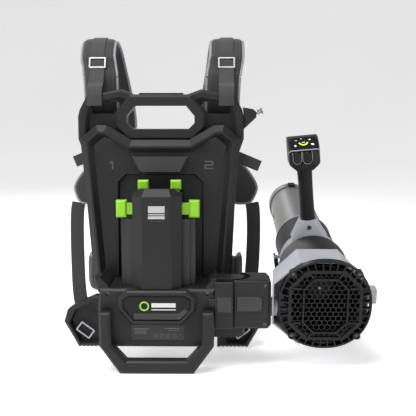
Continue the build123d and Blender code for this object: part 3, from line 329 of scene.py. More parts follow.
def blend_colours(tree, mask, low, high):
    made = node(tree, "ShaderNodeMix", {"Factor": mask}, data_type="RGBA")
    made.inputs["A"].default_value = (*low, 1)
    made.inputs["B"].default_value = (*high, 1)
    return made.outputs["Result"]


def bump(tree, height, shader, distance, strength=0.5, normal=None):
    links = {"Height": height, "Distance": distance, "Strength": strength}
    if normal is not None:
        links["Normal"] = normal
    made = node(tree, "ShaderNodeBump", links)
    tree.links.new(made.outputs["Normal"], shader.inputs["Normal"])
    return made


def moulded_plastic(name, colour, gloss=0.5, edge_highlight=0.35, grain=0.0005, depth=0.00006, shine=0.24):
    """Moulded plastic: grained, with faint patches in tone and gloss, and painted paler along its edges as a painted
    edge highlight.
    """
    material, tree, shader = new_material(name)
    texture = use_group(tree, grain_group, Grain_Size=grain)
    highlight_mask = use_group(tree, edge_highlight_group)
    dark = tuple(0.86 * c for c in colour)
    light = tuple(1.16 * c for c in colour)
    # the painted edge highlight colour: the base colour lifted by 0.26 times the edge strength
    highlight_colour = tuple(min(1.0, c + edge_highlight * 0.26) for c in colour)
    base = blend_colours(tree, texture.outputs["Patches"], dark, light)
    highlighted_base = node(tree, "ShaderNodeMix", {"Factor": highlight_mask.outputs["Mask"], "A": base}, data_type="RGBA")
    highlighted_base.inputs["B"].default_value = (*highlight_colour, 1)
    tree.links.new(highlighted_base.outputs["Result"], shader.inputs["Base Color"])
    rough = node(tree, "ShaderNodeMapRange", {"Value": texture.outputs["Patches"], "To Min": gloss - 0.08,
                                              "To Max": gloss + 0.1})
    tree.links.new(rough.outputs["Result"], shader.inputs["Roughness"])
    shader.inputs["Specular IOR Level"].default_value = shine
    bump(tree, texture.outputs["Height"], shader, depth)
    return material


def metal(name, colour, gloss=0.28, brushed=0.0):
    """Plated or machined metal with fine scratches across its gloss."""
    material, tree, shader = new_material(name)
    texture = use_group(tree, grain_group, Grain_Size=0.0012, Patch_Size=0.02)
    base = blend_colours(tree, texture.outputs["Patches"], tuple(0.8 * c for c in colour), colour)
    tree.links.new(base, shader.inputs["Base Color"])
    shader.inputs["Metallic"].default_value = 1.0
    rough = node(tree, "ShaderNodeMapRange", {"Value": texture.outputs["Height"], "To Min": gloss - 0.06,
                                              "To Max": gloss + 0.1})
    tree.links.new(rough.outputs["Result"], shader.inputs["Roughness"])
    bump(tree, texture.outputs["Height"], shader, 0.00003, 0.3)
    return material


def woven_cloth(name, colour, across, along, depth, gloss=0.85, contrast=0.35):
    """Cloth woven on the piece's own UVs: threads raise the height and vary the tone."""
    material, tree, shader = new_material(name)
    weave = use_group(tree, weave_group, Threads_Across=across, Threads_Along=along)
    patches = use_group(tree, grain_group, Patch_Size=0.05)
    low = tuple(c * (1 - contrast) for c in colour)
    high = tuple(c * (1 + contrast) for c in colour)
    base = blend_colours(tree, weave.outputs["Height"], low, high)
    shade = node(tree, "ShaderNodeMapRange", {"Value": patches.outputs["Patches"], "To Min": 0.8, "To Max": 1.2})
    toned = node(tree, "ShaderNodeVectorMath", {0: base, "Scale": shade.outputs["Result"]}, operation="SCALE")
    tree.links.new(toned.outputs[0], shader.inputs["Base Color"])
    rough = node(tree, "ShaderNodeMapRange", {"Value": weave.outputs["Threads"], "To Min": gloss - 0.1,
                                              "To Max": gloss + 0.1})
    tree.links.new(rough.outputs["Result"], shader.inputs["Roughness"])
    shader.inputs["Sheen Weight"].default_value = 0.25
    shader.inputs["Sheen Roughness"].default_value = 0.5
    bump(tree, weave.outputs["Height"], shader, depth, 0.6)
    return material


def knit_cloth(name, colour, cell, depth):
    """Spacer mesh: rounded cells from a Voronoi pattern in the object's own space, dark in their middles."""
    material, tree, shader = new_material(name)
    where = node(tree, "ShaderNodeTexCoord").outputs["Object"]
    cells = node(tree, "ShaderNodeTexVoronoi", {"Vector": where, "Scale": 1 / cell, "Randomness": 0.25})
    shape = node(tree, "ShaderNodeMapRange", {"Value": cells.outputs["Distance"], "From Max": 0.6})
    base = blend_colours(tree, shape.outputs["Result"], tuple(0.45 * c for c in colour), colour)
    tree.links.new(base, shader.inputs["Base Color"])
    rough = node(tree, "ShaderNodeMapRange", {"Value": shape.outputs["Result"], "To Min": 0.95, "To Max": 0.75})
    tree.links.new(rough.outputs["Result"], shader.inputs["Roughness"])
    shader.inputs["Sheen Weight"].default_value = 0.3
    bump(tree, shape.outputs["Result"], shader, depth, 0.7)
    return material


def floor_paint():
    """Pale matt floor with a breath of unevenness."""
    material, tree, shader = new_material("studio_floor")
    texture = use_group(tree, grain_group, Grain_Size=0.02, Patch_Size=1.2)
    base = blend_colours(tree, texture.outputs["Patches"], (0.90, 0.90, 0.90), (0.94, 0.94, 0.94))
    tree.links.new(base, shader.inputs["Base Color"])
    shader.inputs["Roughness"].default_value = 0.9
    tree.links.new(base, shader.inputs["Emission Color"])
    shader.inputs["Emission Strength"].default_value = 0.55
    return material


def printed(name, colour, glow=0.0):
    """Ink or a lit window: faintly uneven in tone."""
    material, tree, shader = new_material(name)
    texture = use_group(tree, grain_group, Grain_Size=0.0006, Patch_Size=0.01)
    base = blend_colours(tree, texture.outputs["Patches"], tuple(0.85 * c for c in colour), colour)
    tree.links.new(base, shader.inputs["Base Color"])
    shader.inputs["Roughness"].default_value = 0.45
    if glow:
        tree.links.new(base, shader.inputs["Emission Color"])
        shader.inputs["Emission Strength"].default_value = glow
    return material


# the edge strength given to each plastic sets how much paler its edges are painted, a painted edge highlight
charcoal = moulded_plastic("charcoal_plastic", (0.0135, 0.0138, 0.0146), gloss=0.46, edge_highlight=0.6)
panel_grey = moulded_plastic("panel_plastic", (0.036, 0.0365, 0.038), gloss=0.42, edge_highlight=0.6)
black = moulded_plastic("black_plastic", (0.005, 0.005, 0.0054), gloss=0.42, edge_highlight=0.2)
silver = moulded_plastic("silver_plastic", (0.36, 0.367, 0.405), gloss=0.42, edge_highlight=0.6, grain=0.0009)
lime = moulded_plastic("lime_plastic", (0.22, 0.50, 0.018), gloss=0.38, edge_highlight=0.8, shine=0.4)
smoke = moulded_plastic("smoke_plastic", (0.15, 0.15, 0.152), gloss=0.33, edge_highlight=0.3, grain=0.001)
rubber = moulded_plastic("soft_rubber", (0.0065, 0.0065, 0.007), gloss=0.6, edge_highlight=0.2, grain=0.0008, depth=0.0001)
window = moulded_plastic("display_window", (0.006, 0.006, 0.008), gloss=0.14, edge_highlight=0.0, grain=0.003,
                         depth=0.00001, shine=0.5)
label_film = moulded_plastic("label_film", (0.03, 0.03, 0.032), gloss=0.35, edge_highlight=0.1, grain=0.002)
board_green = moulded_plastic("board_green", (0.02, 0.09, 0.04), gloss=0.4, edge_highlight=0.1)
steel = metal("bright_steel", (0.42, 0.42, 0.46), gloss=0.4)
dark_steel = metal("dark_steel", (0.09, 0.09, 0.095), gloss=0.35)
aluminium = metal("machined_aluminium", (0.62, 0.63, 0.65), gloss=0.32)
pad_cloth = woven_cloth("pad_cloth", (0.013, 0.0133, 0.014), 55, 55, 0.0003)
ribbon_cloth = woven_cloth("ribbon_cloth", (0.021, 0.0213, 0.0225), 50, 34, 0.0005, contrast=0.45)
piping_cloth = woven_cloth("piping_cloth", (0.205, 0.208, 0.225), 60, 60, 0.0002, gloss=0.7, contrast=0.12)
mesh_cloth = knit_cloth("spacer_mesh", (0.022, 0.0225, 0.024), 0.0032, 0.0007)
thread = woven_cloth("sewing_thread", (0.05, 0.051, 0.054), 200, 200, 0.00005, gloss=0.6)
white_ink = printed("white_ink", (0.62, 0.62, 0.62))
label_ink = printed("label_ink", (0.42, 0.42, 0.42))
pale_print = printed("pale_print", (0.13, 0.13, 0.132))
grey_ink = printed("grey_ink", (0.065, 0.065, 0.067))
lime_light = printed("lime_light", (0.45, 0.86, 0.03), glow=0.7)
white_light = printed("white_light", (0.8, 0.8, 0.8), glow=0.5)

slot_material = {
    "charcoal_plastic": charcoal, "dark_plastic": black, "silver_plastic": silver, "lime_plastic": lime,
    "smoke_plastic": smoke, "black_rubber": rubber, "strap_fabric": pad_cloth, "webbing": ribbon_cloth,
    "bright_steel": steel, "dark_steel": dark_steel, "aluminium": aluminium, "display": window,
    "label": label_film, "control": board_green,
}


def dress(piece, material, body, replaces=()):
    """Gives a piece its material and its body, and hides the CAD nodes that it stands for."""
    piece.data.materials.clear()
    piece.data.materials.append(material)
    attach(piece, body)
    if replaces:
        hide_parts(*replaces)
    return piece


# ---------------------------------------------------------------- hard parts from the frame

def moulded_copy(name, radius, sharp=13.0):
    """A merged copy of a CAD node with its edges rounded: doubles joined, flat facets dissolved,
    edges sharper than the given angle kept sharp and bevelled by radius."""
    source = nodes[name]
    mesh = source.data.copy()
    work = bmesh.new()
    work.from_mesh(mesh)
    bmesh.ops.remove_doubles(work, verts=work.verts, dist=2e-6)
    bmesh.ops.dissolve_limit(work, angle_limit=math.radians(0.4), verts=work.verts, edges=work.edges)
    for face in work.faces:
        face.smooth = True
    for edge in work.edges:
        edge.smooth = not (len(edge.link_faces) == 2 and edge.calc_face_angle(0.0) > math.radians(sharp))
    work.to_mesh(mesh)
    work.free()
    mesh.name = name + "_moulding"
    piece = bpy.data.objects.new(name + "_moulding", mesh)
    bpy.context.scene.collection.objects.link(piece)
    rounding = piece.modifiers.new("rounded_edges", "BEVEL")
    rounding.width = radius
    rounding.segments = 2
    rounding.limit_method = "ANGLE"
    rounding.angle_limit = math.radians(sharp)
    rounding.use_clamp_overlap = True
    rounding.harden_normals = True
    slot = slot_of_node[name]
    material = panel_grey if name in ("tower_header", "battery_rails") else slot_material[slot]
    return dress(piece, material, body_of_node[name], [name])


edge_radius = {
    "back_frame": 1.4, "rear_cover": 1.3, "tower_header": 0.8, "lower_housing": 1.2, "badge_panel": 0.4,
    "rear_foot": 1.6, "front_foot_right": 1.2, "front_foot_left": 1.2, "battery_tower": 0.8, "tower_cover": 1.0,
    "battery_rails": 0.6, "release_button_right": 0.8, "release_button_left": 0.8, "battery_latch_right": 0.8,
    "battery_latch_left": 0.8, "hanger_bracket": 1.0, "handle_pad": 0.6, "arm_housing": 1.4, "arm_cover": 0.9,
    "intake_shroud": 1.0, "handle_collar": 1.0, "control_head": 1.5, "display_panel": 0.3, "tube_latch": 0.5,
    "clamp_lever": 0.7, "trigger": 0.8, "boost_button": 0.5, "mode_button": 0.5, "belt_buckle": 1.0,
    "strap_sliders": 0.5, "rating_plate": 0.2, "tube_end_ring": 0.5, "coupling_ring": 0.8, "intake_grille": 0.25,
}
soft_nodes = {"strap_pad_right", "strap_pad_left", "strap_webbing_right", "strap_webbing_left", "lower_webbing",
              "back_pad", "lumbar_pad", "hip_belt", "belt_webbing"}
round_nodes = {"handle_pad", "hanger_stud", "hanger_bracket", "belt_buckle", "strap_sliders",
               "coupling_ring", "handle_collar", "tube_end_ring", "fan_case", "blower_tube", "grip", "fan_rotor",
               "motor_shaft", "motor_can", "motor_bearings", "stator_vanes", "pack_screws", "arm_screws",
               "grille_screws", "swing_pin", "tilt_axle", "arm_housing", "clamp_lever", "control_unit"}
for name in sorted(nodes):
    if name not in soft_nodes:
        moulded_copy(name, edge_radius.get(name, 0.35) * mm, 30.0 if name in round_nodes else 13.0)

studio_floor()

# ---------------------------------------------------------------- straps, pads and belt

strap_thick = 14 * mm
web_thick = 2 * mm
piping_radius = 2.9 * mm
# middle line of the right shoulder pad: x, y, z and how wide it is against its full width
strap_line = np.array([
    (135, 194, 506, 0.97), (135, 194, 550, 0.97), (137, 198, 610, 1.0), (139.7, 203.3, 627, 1.0),
    (142.3, 208.7, 644, 1.0), (145, 214, 661, 1.0), (145, 242, 691, 1.0), (144, 276, 694, 1.0),
    (140, 314, 673, 1.0), (132, 344, 625, 0.97), (120, 358, 565, 0.94), (112, 358, 507, 0.94),
    (120, 342, 450, 1.0), (142, 318, 405, 1.08), (170, 294, 367, 1.10), (189, 280, 339, 0.95), (201, 271, 323, 0.5),
]) * [mm, mm, mm, 1]
strap_half = 36 * mm


def mirrored(grid, side):
    return grid * np.array([side, 1, 1])


def shoulder_pad(word, side):
    """Pad: superellipse sections along the strap's line, narrowed in a round at the lower end,
    thinner where a channel is sewn across, by 1 - depth * exp(-(distance / width)^2)."""
    stations, length = smooth_line(strap_line, 190)
    line, scale = stations[:, :3], stations[:, 3]
    total = length[-1]
    round_in = 26 * mm
    past = np.clip((length - (total - round_in)) / round_in, 0, 1)
    end = np.sqrt(np.clip(1 - past ** 2, 0.0, 1))
    start = np.sqrt(np.clip(1 - np.clip(1 - length / (5 * mm), 0, 1) ** 2, 0.15, 1))
    widths = strap_half * np.maximum(scale, 0.62) * np.maximum(end, 0.04) - 1.2 * mm
    thick = strap_thick / 2 * np.maximum(end, 0.1) ** 0.6 * start
    sewn = np.ones_like(length)
    for share in (0.70, 0.775, 0.85, 0.915):
        sewn -= 0.42 * np.exp(-(((length - share * total) / (2.2 * mm)) ** 2))
    grid, _ = band_surface(line, (1, 0, 0), widths, thick * sewn, corner=0.5, columns=48)
    uv = metre_uv(line, 48, 2 * strap_half)
    pad = grid_piece("shoulder_pad_" + word, mirrored(grid, side), wrap=True, caps=True, uv=uv, flip=side > 0)
    point_outwards(pad)
    dress(pad, pad_cloth, "pack", ["strap_pad_" + word])
    # piping down one edge, round the end and up the other
    along, across, outward = frame_along(line, (1, 0, 0))
    edge = (widths + 2.0 * mm)[:, None] * across
    rim = np.vstack([line + edge, (line - edge)[::-1]])
    rim, _ = smooth_line(rim[::3], 320)
    stitch_rows("shoulder_stitching_" + word, line, across, outward, widths, thick * sewn, side)
    piping = tube_piece("shoulder_piping_" + word, mirrored(rim, side), piping_radius)
    dress(piping, piping_cloth, "pack")


def stitch_rows(name, line, across, outward, half, thick, side, share=0.82, pitch=4.2 * mm):
    """Thread along both edges of a pad's outer face: one short six-sided stitch at each pitch, pointed at both ends,
    laid where the superellipse section stands at that share of its half width."""
    height = thick * (1 - share ** 4) ** 0.4 + 0.25 * mm
    length = np.r_[0, np.cumsum(np.linalg.norm(np.diff(line, axis=0), axis=1))]
    at = np.arange(8 * mm, length[-1] - 30 * mm, pitch)
    turn = np.linspace(0, 2 * math.pi, 6, endpoint=False)
    points, faces = [], []
    for hand in (1, -1):
        path = line + across * (hand * share * half)[:, None] + outward * height[:, None]
        for start in at:
            spans = np.array([start + f * pitch * 0.68 for f in (0, 0.2, 0.8, 1)])
            middle = np.stack([np.interp(spans, length, path[:, k]) for k in range(3)], -1)
            i = int(np.searchsorted(length, start)) - 1
            radius = np.array([0.12, 0.42, 0.42, 0.12]) * mm
            ring = (middle[:, None] + radius[:, None, None]
                    * (across[i] * np.cos(turn)[:, None] + outward[i] * np.sin(turn)[:, None])[None])
            first = len(points)
            points.extend(ring.reshape(-1, 3))
            faces.extend((grid_faces(4, 6, True) + first).tolist())
            faces.append([first + k for k in range(6)][::-1])
            faces.append([first + 18 + k for k in range(6)])
    piece = point_outwards(mesh_piece(name, mirrored(np.array(points), side), faces))
    return dress(piece, thread, "pack")


def ribbon(name, points, width, reference, replaces=(), side=1, count=70, lift=0.0):
    """Flat webbing: thin flat-edged sections carried along a smooth line."""
    line, length = smooth_line(np.asarray(points, float), count)
    half = np.full(count, width / 2)
    thin = np.full(count, web_thick / 2)
    grid, _ = band_surface(line, reference, half, thin, corner=0.25, columns=24, lift=lift)
    uv = metre_uv(line, 24, width)
    piece = grid_piece(name, mirrored(grid, side), wrap=True, caps=True, uv=uv)
    point_outwards(piece)
    return dress(piece, ribbon_cloth, "pack", replaces)


def shoulder_webbing(word, side):
    """Webbing from the frame's window, over its top bar, up the pad's outside and over its top,
    with a doubled tab at the bar and the load lifter's stub lower down."""
    stations, _ = smooth_line(strap_line, 190)
    line = stations[:, :3]
    _, _, outward = frame_along(line, (1, 0, 0))
    on_pad = line + outward * (strap_thick / 2 + web_thick / 2 + 0.5 * mm)
    chosen = on_pad[34:90:6].copy()
    chosen[:, 0] = 144 * mm
    bar = np.array([(144, 146.4, 549), (144, 146.4, 560), (144, 146.8, 574), (144, 154.4, 589), (144, 172, 599)]) * mm
    route = np.vstack([bar, chosen])
    ribbon("shoulder_webbing_" + word, route, 30 * mm, (1, 0, 0), side=side, replaces=["strap_webbing_" + word],
           count=120)
    ribbon("shoulder_tab_" + word, np.vstack([bar, chosen[:2]]), 33 * mm, (1, 0, 0), side=side, count=50,
           lift=2.2 * mm)
    end = np.array((219, 184, 415) if side > 0 else (196, 181, 425))
    stub = np.linspace((150, 179.4, 444), end, 4) * mm
    ribbon("load_lifter_" + word, stub, 25 * mm, (0.4, 0, 0.92), side=side, count=30)


def lower_ribbon(word, side):
    """Webbing from the pad's lower end down to the front foot."""
    route = np.array([(206, 270, 322), (209, 267, 300), (210, 262, 250), (207, 248, 180), (200, 222, 120),
                      (188, 197, 70), (184, 194, 46)]) * mm
    name = "lower_webbing_" + word
    return ribbon(name, route, 32 * mm, (1, 0, 0), side=side, replaces=["lower_webbing"] if side > 0 else ())


for word, side in (("right", 1), ("left", -1)):
    shoulder_pad(word, side)
    shoulder_webbing(word, side)
    lower_ribbon(word, side)


def belt_wing(word, side):
    """Hip wing: superellipse sections with upright width, carried round the waist, with sewn channels."""
    points = np.array([(126, 190, 163), (152, 204, 163), (172, 232, 163), (178, 268, 163), (170, 304, 163)]) * mm
    line, length = smooth_line(points, 110)
    total = length[-1]
    tip = np.clip((length - 0.72 * total) / (0.28 * total), 0, 1)
    past = np.clip((length - total + 8 * mm) / (8 * mm), 0, 1)
    half = 38 * mm * (1 - 0.45 * tip ** 2) * np.sqrt(np.clip(1 - past ** 2, 0.05, 1)) - 1.2 * mm
    sewn = np.ones_like(length)
    for share in (0.3, 0.55, 0.78):
        sewn -= 0.4 * np.exp(-(((length - share * total) / (2.2 * mm)) ** 2))
    grid, _ = band_surface(line, (0, 0, 1), half, 6 * mm * sewn, corner=0.5, columns=44)
    uv = metre_uv(line, 44, 76 * mm)
    wing = grid_piece("hip_wing_" + word, mirrored(grid, side), wrap=True, caps=True, uv=uv)
    point_outwards(wing)
    dress(wing, pad_cloth, "pack", ["hip_belt"] if side > 0 else ())
    edge = [0, 0, 1] * (half + 0.8 * mm)[:, None]
    rim = np.vstack([line + edge, (line - edge)[::-1]])
    rim, _ = smooth_line(rim[::3], 200)
    piping = tube_piece("hip_piping_" + word, mirrored(rim, side), piping_radius * 0.9)
    dress(piping, piping_cloth, "pack")
    front = np.array([(171, 306, 163), (166, 326, 163), (150, 346, 163), (110, 368, 163), (70, 376, 163),
                      (30, 378, 163)]) * mm
    ribbon("belt_ribbon_" + word, front, 38 * mm, (0, 0, 1), side=side, count=60,
           replaces=["belt_webbing"] if side > 0 else ())


for word, side in (("right", 1), ("left", -1)):
    belt_wing(word, side)


def inflated_pad(name, node_name, channels, swell=5 * mm):
    """A pad puffed from its CAD solid: shrunk, voxel remeshed, blown up as cloth with a cap on how far a point
    moves, then sewn along its channels by pulling points in by depth * exp(-(distance / width)^2)."""
    mesh = nodes[node_name].data.copy()
    work = bmesh.new()
    work.from_mesh(mesh)
    bmesh.ops.remove_doubles(work, verts=work.verts, dist=2e-6)
    work.to_mesh(mesh)
    work.free()
    mesh.name = name
    pad = bpy.data.objects.new(name, mesh)
    bpy.context.scene.collection.objects.link(pad)
    low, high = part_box(node_name)
    middle = np.array((low + high) / 2)
    size = np.array(high - low)
    points = np.empty(len(mesh.vertices) * 3)
    mesh.vertices.foreach_get("co", points)
    points = points.reshape(-1, 3)
    points = middle + (points - middle) * (1 - 2 * np.array([0.004, 0.0015, 0.004]) / size)
    mesh.vertices.foreach_set("co", points.ravel())
    remesh = pad.modifiers.new("remesh", "REMESH")
    remesh.mode = "VOXEL"
    remesh.voxel_size = 5 * mm
    apply_modifiers(pad)
    still = grid_points(pad)
    cloth = pad.modifiers.new("cloth", "CLOTH")
    cloth.settings.use_pressure = True
    cloth.settings.uniform_pressure_force = 4
    cloth.settings.effector_weights.gravity = 0
    cloth.settings.mass = 0.3
    cloth.settings.quality = 6
    for step in range(1, 15):
        bpy.context.scene.frame_set(step)
    apply_modifiers(pad)
    bpy.context.scene.frame_set(1)
    puffed = grid_points(pad)
    move = puffed - still
    reach = np.linalg.norm(move, axis=1, keepdims=True)
    puffed = still + move * np.minimum(1, swell / np.maximum(reach, 1e-9))
    for centre, direction, depth, width in channels:
        away = np.abs((puffed - np.array(centre)) @ np.array(direction))
        pull = depth * np.exp(-((away / width) ** 2)) * (puffed[:, 1] > middle[1])
        puffed[:, 1] -= pull
    puffed[:, 1] = np.maximum(puffed[:, 1], low.y)
    pad.data.vertices.foreach_set("co", puffed.ravel())
    finer = pad.modifiers.new("finer", "SUBSURF")
    finer.levels = finer.render_levels = 1
    apply_modifiers(pad)
    pad.data.polygons.foreach_set("use_smooth", np.ones(len(pad.data.polygons), bool))
    dress(pad, mesh_cloth, "pack", [node_name])
    return pad


def apply_modifiers(piece):
    """Replaces a piece's mesh with its evaluated one and drops its modifiers."""
    graph = bpy.context.evaluated_depsgraph_get()
    mesh = bpy.data.meshes.new_from_object(piece.evaluated_get(graph))
    piece.modifiers.clear()
    piece.data = mesh


def grid_points(piece):
    points = np.empty(len(piece.data.vertices) * 3)
    piece.data.vertices.foreach_get("co", points)
    return points.reshape(-1, 3)


back_low, back_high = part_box("back_pad")
back_channels = [((0, 0, z), (0, 0, 1), 3.5 * mm, 4 * mm) for z in np.linspace(back_low.z, back_high.z, 6)[1:-1]]
back_channels.append(((0, 0, 0), (1, 0, 0), 5 * mm, 9 * mm))
inflated_pad("back_cushion", "back_pad", back_channels)
lumbar_channels = [((side * 0.052, 0, 0), (1, 0, 0), 4 * mm, 5 * mm) for side in (1, -1)]
lumbar_channels.append(((0, 0, 0), (1, 0, 0), 5 * mm, 9 * mm))
inflated_pad("lumbar_cushion", "lumbar_pad", lumbar_channels)

# ---------------------------------------------------------------- the blower's own details

spin = joint["fan_spin"]
blower_along = np.array(spin["axis"])
blower_across = np.array([1.0, 0.0, 0.0])
blower_up = np.cross(blower_across, blower_along)
grille_face = np.array(spin["pos_m"]) - blower_along * 0.130


def on_blower(across, along, up):
    """Points given across, along and above the blower's axis, from the grille's face, put in the row frame."""
    across, along, up = np.broadcast_arrays(across, along, up)
    return (grille_face + across[..., None] * blower_across + along[..., None] * blower_along
            + up[..., None] * blower_up)


def turned_piece(name, profile, sides=96, body="blower", material=None, flute=None):
    """A round piece about the blower's axis: profile radius and place, turned round it;
    flute adds depth * |sin(count * angle / 2)|^0.5 to the radius."""
    profile = np.asarray(profile, float)
    turn = np.linspace(0, 2 * math.pi, sides, endpoint=False)
    radius = np.repeat(profile[:, :1], sides, axis=1)
    if flute:
        count, depth = flute
        radius = radius + depth * np.sqrt(np.abs(np.sin(count * turn / 2)))[None, :]
    place = np.repeat(profile[:, 1:2], sides, axis=1)
    grid = on_blower(radius * np.cos(turn), place, radius * np.sin(turn))
    grid = np.concatenate([grid, grid[:1]], axis=0)
    piece = grid_piece(name, grid, wrap=True)
    work = bmesh.new()
    work.from_mesh(piece.data)
    bmesh.ops.remove_doubles(work, verts=work.verts, dist=1e-7)
    bmesh.ops.recalc_face_normals(work, faces=work.faces)
    work.to_mesh(piece.data)
    work.free()
    return dress(piece, material, body)


handle_roll = math.radians(-5.5)


def on_handle(across, along, up):
    """The same, for pieces of the handle, which is rolled about the blower's axis at rest."""
    across, along, up = np.broadcast_arrays(across, along, up)
    return on_blower(across * math.cos(handle_roll) + up * math.sin(handle_roll), along,
                     up * math.cos(handle_roll) - across * math.sin(handle_roll))


case_r = 80 * mm
turned_piece("fan_case_ribs", [(case_r + 0.05 * mm, 0.112), (case_r + 0.1 * mm, 0.1125), (case_r + 0.1 * mm, 0.2275),
                               (case_r + 0.05 * mm, 0.228), (case_r - 0.6 * mm, 0.227), (case_r - 0.6 * mm, 0.113)],
             sides=144 * 6, material=black, flute=(144, 0.8 * mm))
turned_piece("coupling_bright_ring", [(71.8 * mm, 0.4285), (72.0 * mm, 0.429), (72.0 * mm, 0.4325), (71.8 * mm, 0.433),
                                      (70.4 * mm, 0.4325), (70.4 * mm, 0.429)], sides=120, material=silver)


def flat_marks(name, outlines, centre, across, up, material, body, thick=0.15 * mm):
    """Thin printed marks: each outline, in metres on the plane of across and up, given a small thickness."""
    across, up = unit(np.asarray(across, float)), unit(np.asarray(up, float))
    normal = np.cross(across, up)
    points, faces = [], []
    for outline in outlines:
        flat = np.asarray(outline, float)
        start, count = len(points), len(flat)
        for lift in (0.0, thick):
            points.extend(np.asarray(centre) + flat[:, :1] * across + flat[:, 1:] * up + normal * lift)
        faces.append(list(range(start + count, start + 2 * count)))
        faces.append(list(range(start, start + count))[::-1])
        for k in range(count):
            n = (k + 1) % count
            faces.append([start + k, start + n, start + count + n, start + count + k])
    piece = mesh_piece(name, points, faces, smooth=False)
    return dress(piece, material, body)


def bar(x, y, wide, high, slant=0.0):
    """A rectangle, its top moved sideways by slant."""
    return [(x - wide / 2, y - high / 2), (x + wide / 2, y - high / 2),
            (x + wide / 2 + slant, y + high / 2), (x - wide / 2 + slant, y + high / 2)]


def arc(x, y, inner, outer, start, stop, steps=20):
    """A ring's sector between two angles in degrees."""
    a = np.radians(np.linspace(start, stop, steps))
    out = np.stack([x + outer * np.cos(a), y + outer * np.sin(a)], -1)
    back = np.stack([x + inner * np.cos(a[::-1]), y + inner * np.sin(a[::-1])], -1)
    return np.vstack([out, back])


# the display: a lime gauge arc and small lit icons on the sloping window
head_back, head_low, head_face, head_top = 235 * mm, 231.4 * mm, 52 * mm, 306 * mm
rise = head_top - head_low - head_face
handle_x = on_handle(1.0, 0.0, 0.0) - on_handle(0.0, 0.0, 0.0)
panel_up = unit(on_handle(0.0, 31 * mm, rise) - on_handle(0.0, 0.0, 0.0))
panel_out = np.cross(handle_x, panel_up)
panel_face = on_handle(0.0, head_back + 15.5 * mm, head_top - rise / 2) + panel_out * 2.05 * mm
flat_marks("gauge_arc", [arc(0, 3 * mm, 8.2 * mm, 11.4 * mm, 195, 345)], panel_face, handle_x, panel_up,
           lime_light, "handle")
icons = [bar(-19 * mm, -8 * mm, 4 * mm, 5 * mm), bar(21 * mm, -7 * mm, 6 * mm, 5 * mm, -2 * mm),
         bar(15 * mm, 8 * mm, 4 * mm, 3 * mm), bar(0, 1 * mm, 7 * mm, 1.5 * mm),
         bar(-16 * mm, 8 * mm, 5 * mm, 1.2 * mm),
         bar(-4 * mm, 12 * mm, 3 * mm, 1.2 * mm)]
flat_marks("gauge_icons", icons, panel_face, handle_x, panel_up, white_light, "handle")


def handle_cord(name, points, radius, material, body="handle", count=60):
    """A thin raised line on the handle through points of across, along and up in millimetres."""
    p = np.asarray(points, float) * mm
    line, _ = smooth_line(on_handle(p[:, 0], p[:, 1], p[:, 2]), count)
    return dress(tube_piece(name, line, radius, sides=8), material, body)


# silver trim under the display that turns down at both sides, and round each thumb button
trim_z = (head_low + head_face) / mm - 1.5
handle_cord("head_trim", [(-34.6, 246, trim_z - 10), (-34.4, 240, trim_z - 4), (-29.5, 235.2, trim_z),
                          (-20, 234.9, trim_z),
                          (0, 234.9, trim_z), (20, 234.9, trim_z), (29.5, 235.2, trim_z), (34.4, 240, trim_z - 4),
                          (34.6, 246, trim_z - 10)], 1.1 * mm, silver, count=100)
thumb_z = head_low / mm + 34
for word, middle, half in (("mode", -17.0, 9.6), ("boost", 6.0, 10.6)):
    sweep = np.radians(np.linspace(180, 360, 13))
    loop = [(middle - half, 234.8, thumb_z + 13)]
    loop += [(middle + half * math.cos(a), 234.8, thumb_z - 5 + half * math.sin(a)) for a in sweep]
    loop += [(middle + half, 234.8, thumb_z + 13)]
    handle_cord(word + "_button_outline", loop, 0.5 * mm, silver, count=80)


# lit mark, badge and rating plate: plain bars in place of words
badge_face = np.array([0.0, 3.05 * mm, 138.5 * mm])
ring = [arc(-26 * mm, 1 * mm, 7 * mm, 10 * mm, 0, 355, 50)]
flat_marks("badge_ring", ring, badge_face, (1, 0, 0), (0, 0, 1), lime, "pack", 0.3 * mm)
pale_bars = [bar(14 * mm, 3 * mm, 50 * mm, 9 * mm), bar(14 * mm, -6.5 * mm, 50 * mm, 2 * mm)]
flat_marks("badge_bars", pale_bars, badge_face, (1, 0, 0), (0, 0, 1), white_ink, "pack", 0.3 * mm)
plate_face = np.array([0.0, 17.65 * mm, 80 * mm])
rows = [bar(-34 * mm, 7 * mm, 30 * mm, 2 * mm), bar(-36 * mm, 2.5 * mm, 26 * mm, 1 * mm),
        bar(-36 * mm, 0, 26 * mm, 1 * mm), bar(-36 * mm, -2.5 * mm, 26 * mm, 1 * mm),
        bar(30 * mm, 8 * mm, 30 * mm, 1.6 * mm), bar(34 * mm, 4 * mm, 22 * mm, 1 * mm)]
for x in (-4, 9, 22, 36):
    rows.append(arc(x * mm, -8 * mm, 3.2 * mm, 4 * mm, 0, 350))
flat_marks("plate_print", rows, plate_face, (1, 0, 0), (0, 0, 1), pale_print, "pack", 0.1 * mm)
# the tube's own marks on its left: a lime bar and four short dark ticks
for name, spots, width, material in (("tube_mark", (600,), 22, lime), ("tube_ticks", (640, 652, 664, 676), 3, black)):
    points, faces = [], []
    for s in spots:
        turn = np.radians(np.linspace(172, 196, 14))
        radius = (64.35 - 3.5 * (s - 346) / 454) * mm
        along = np.array([s, s + width]) * mm
        grid = on_blower(radius * np.cos(turn)[None, :], along[:, None], radius * np.sin(turn)[None, :])
        inner = on_blower((radius - 0.3 * mm) * np.cos(turn)[None, :], along[:, None],
                          (radius - 0.3 * mm) * np.sin(turn)[None, :])
        ring = np.stack([grid[0], grid[1], inner[1], inner[0]], 1)
        first = len(points)
        points.extend(ring.reshape(-1, 3))
        faces.extend((grid_faces(14, 4, True) + first).tolist())
        faces.append([first, first + 1, first + 2, first + 3])
        faces.append([first + 52 + k for k in (3, 2, 1, 0)])
    dress(point_outwards(mesh_piece(name, points, faces)), material, "blower")


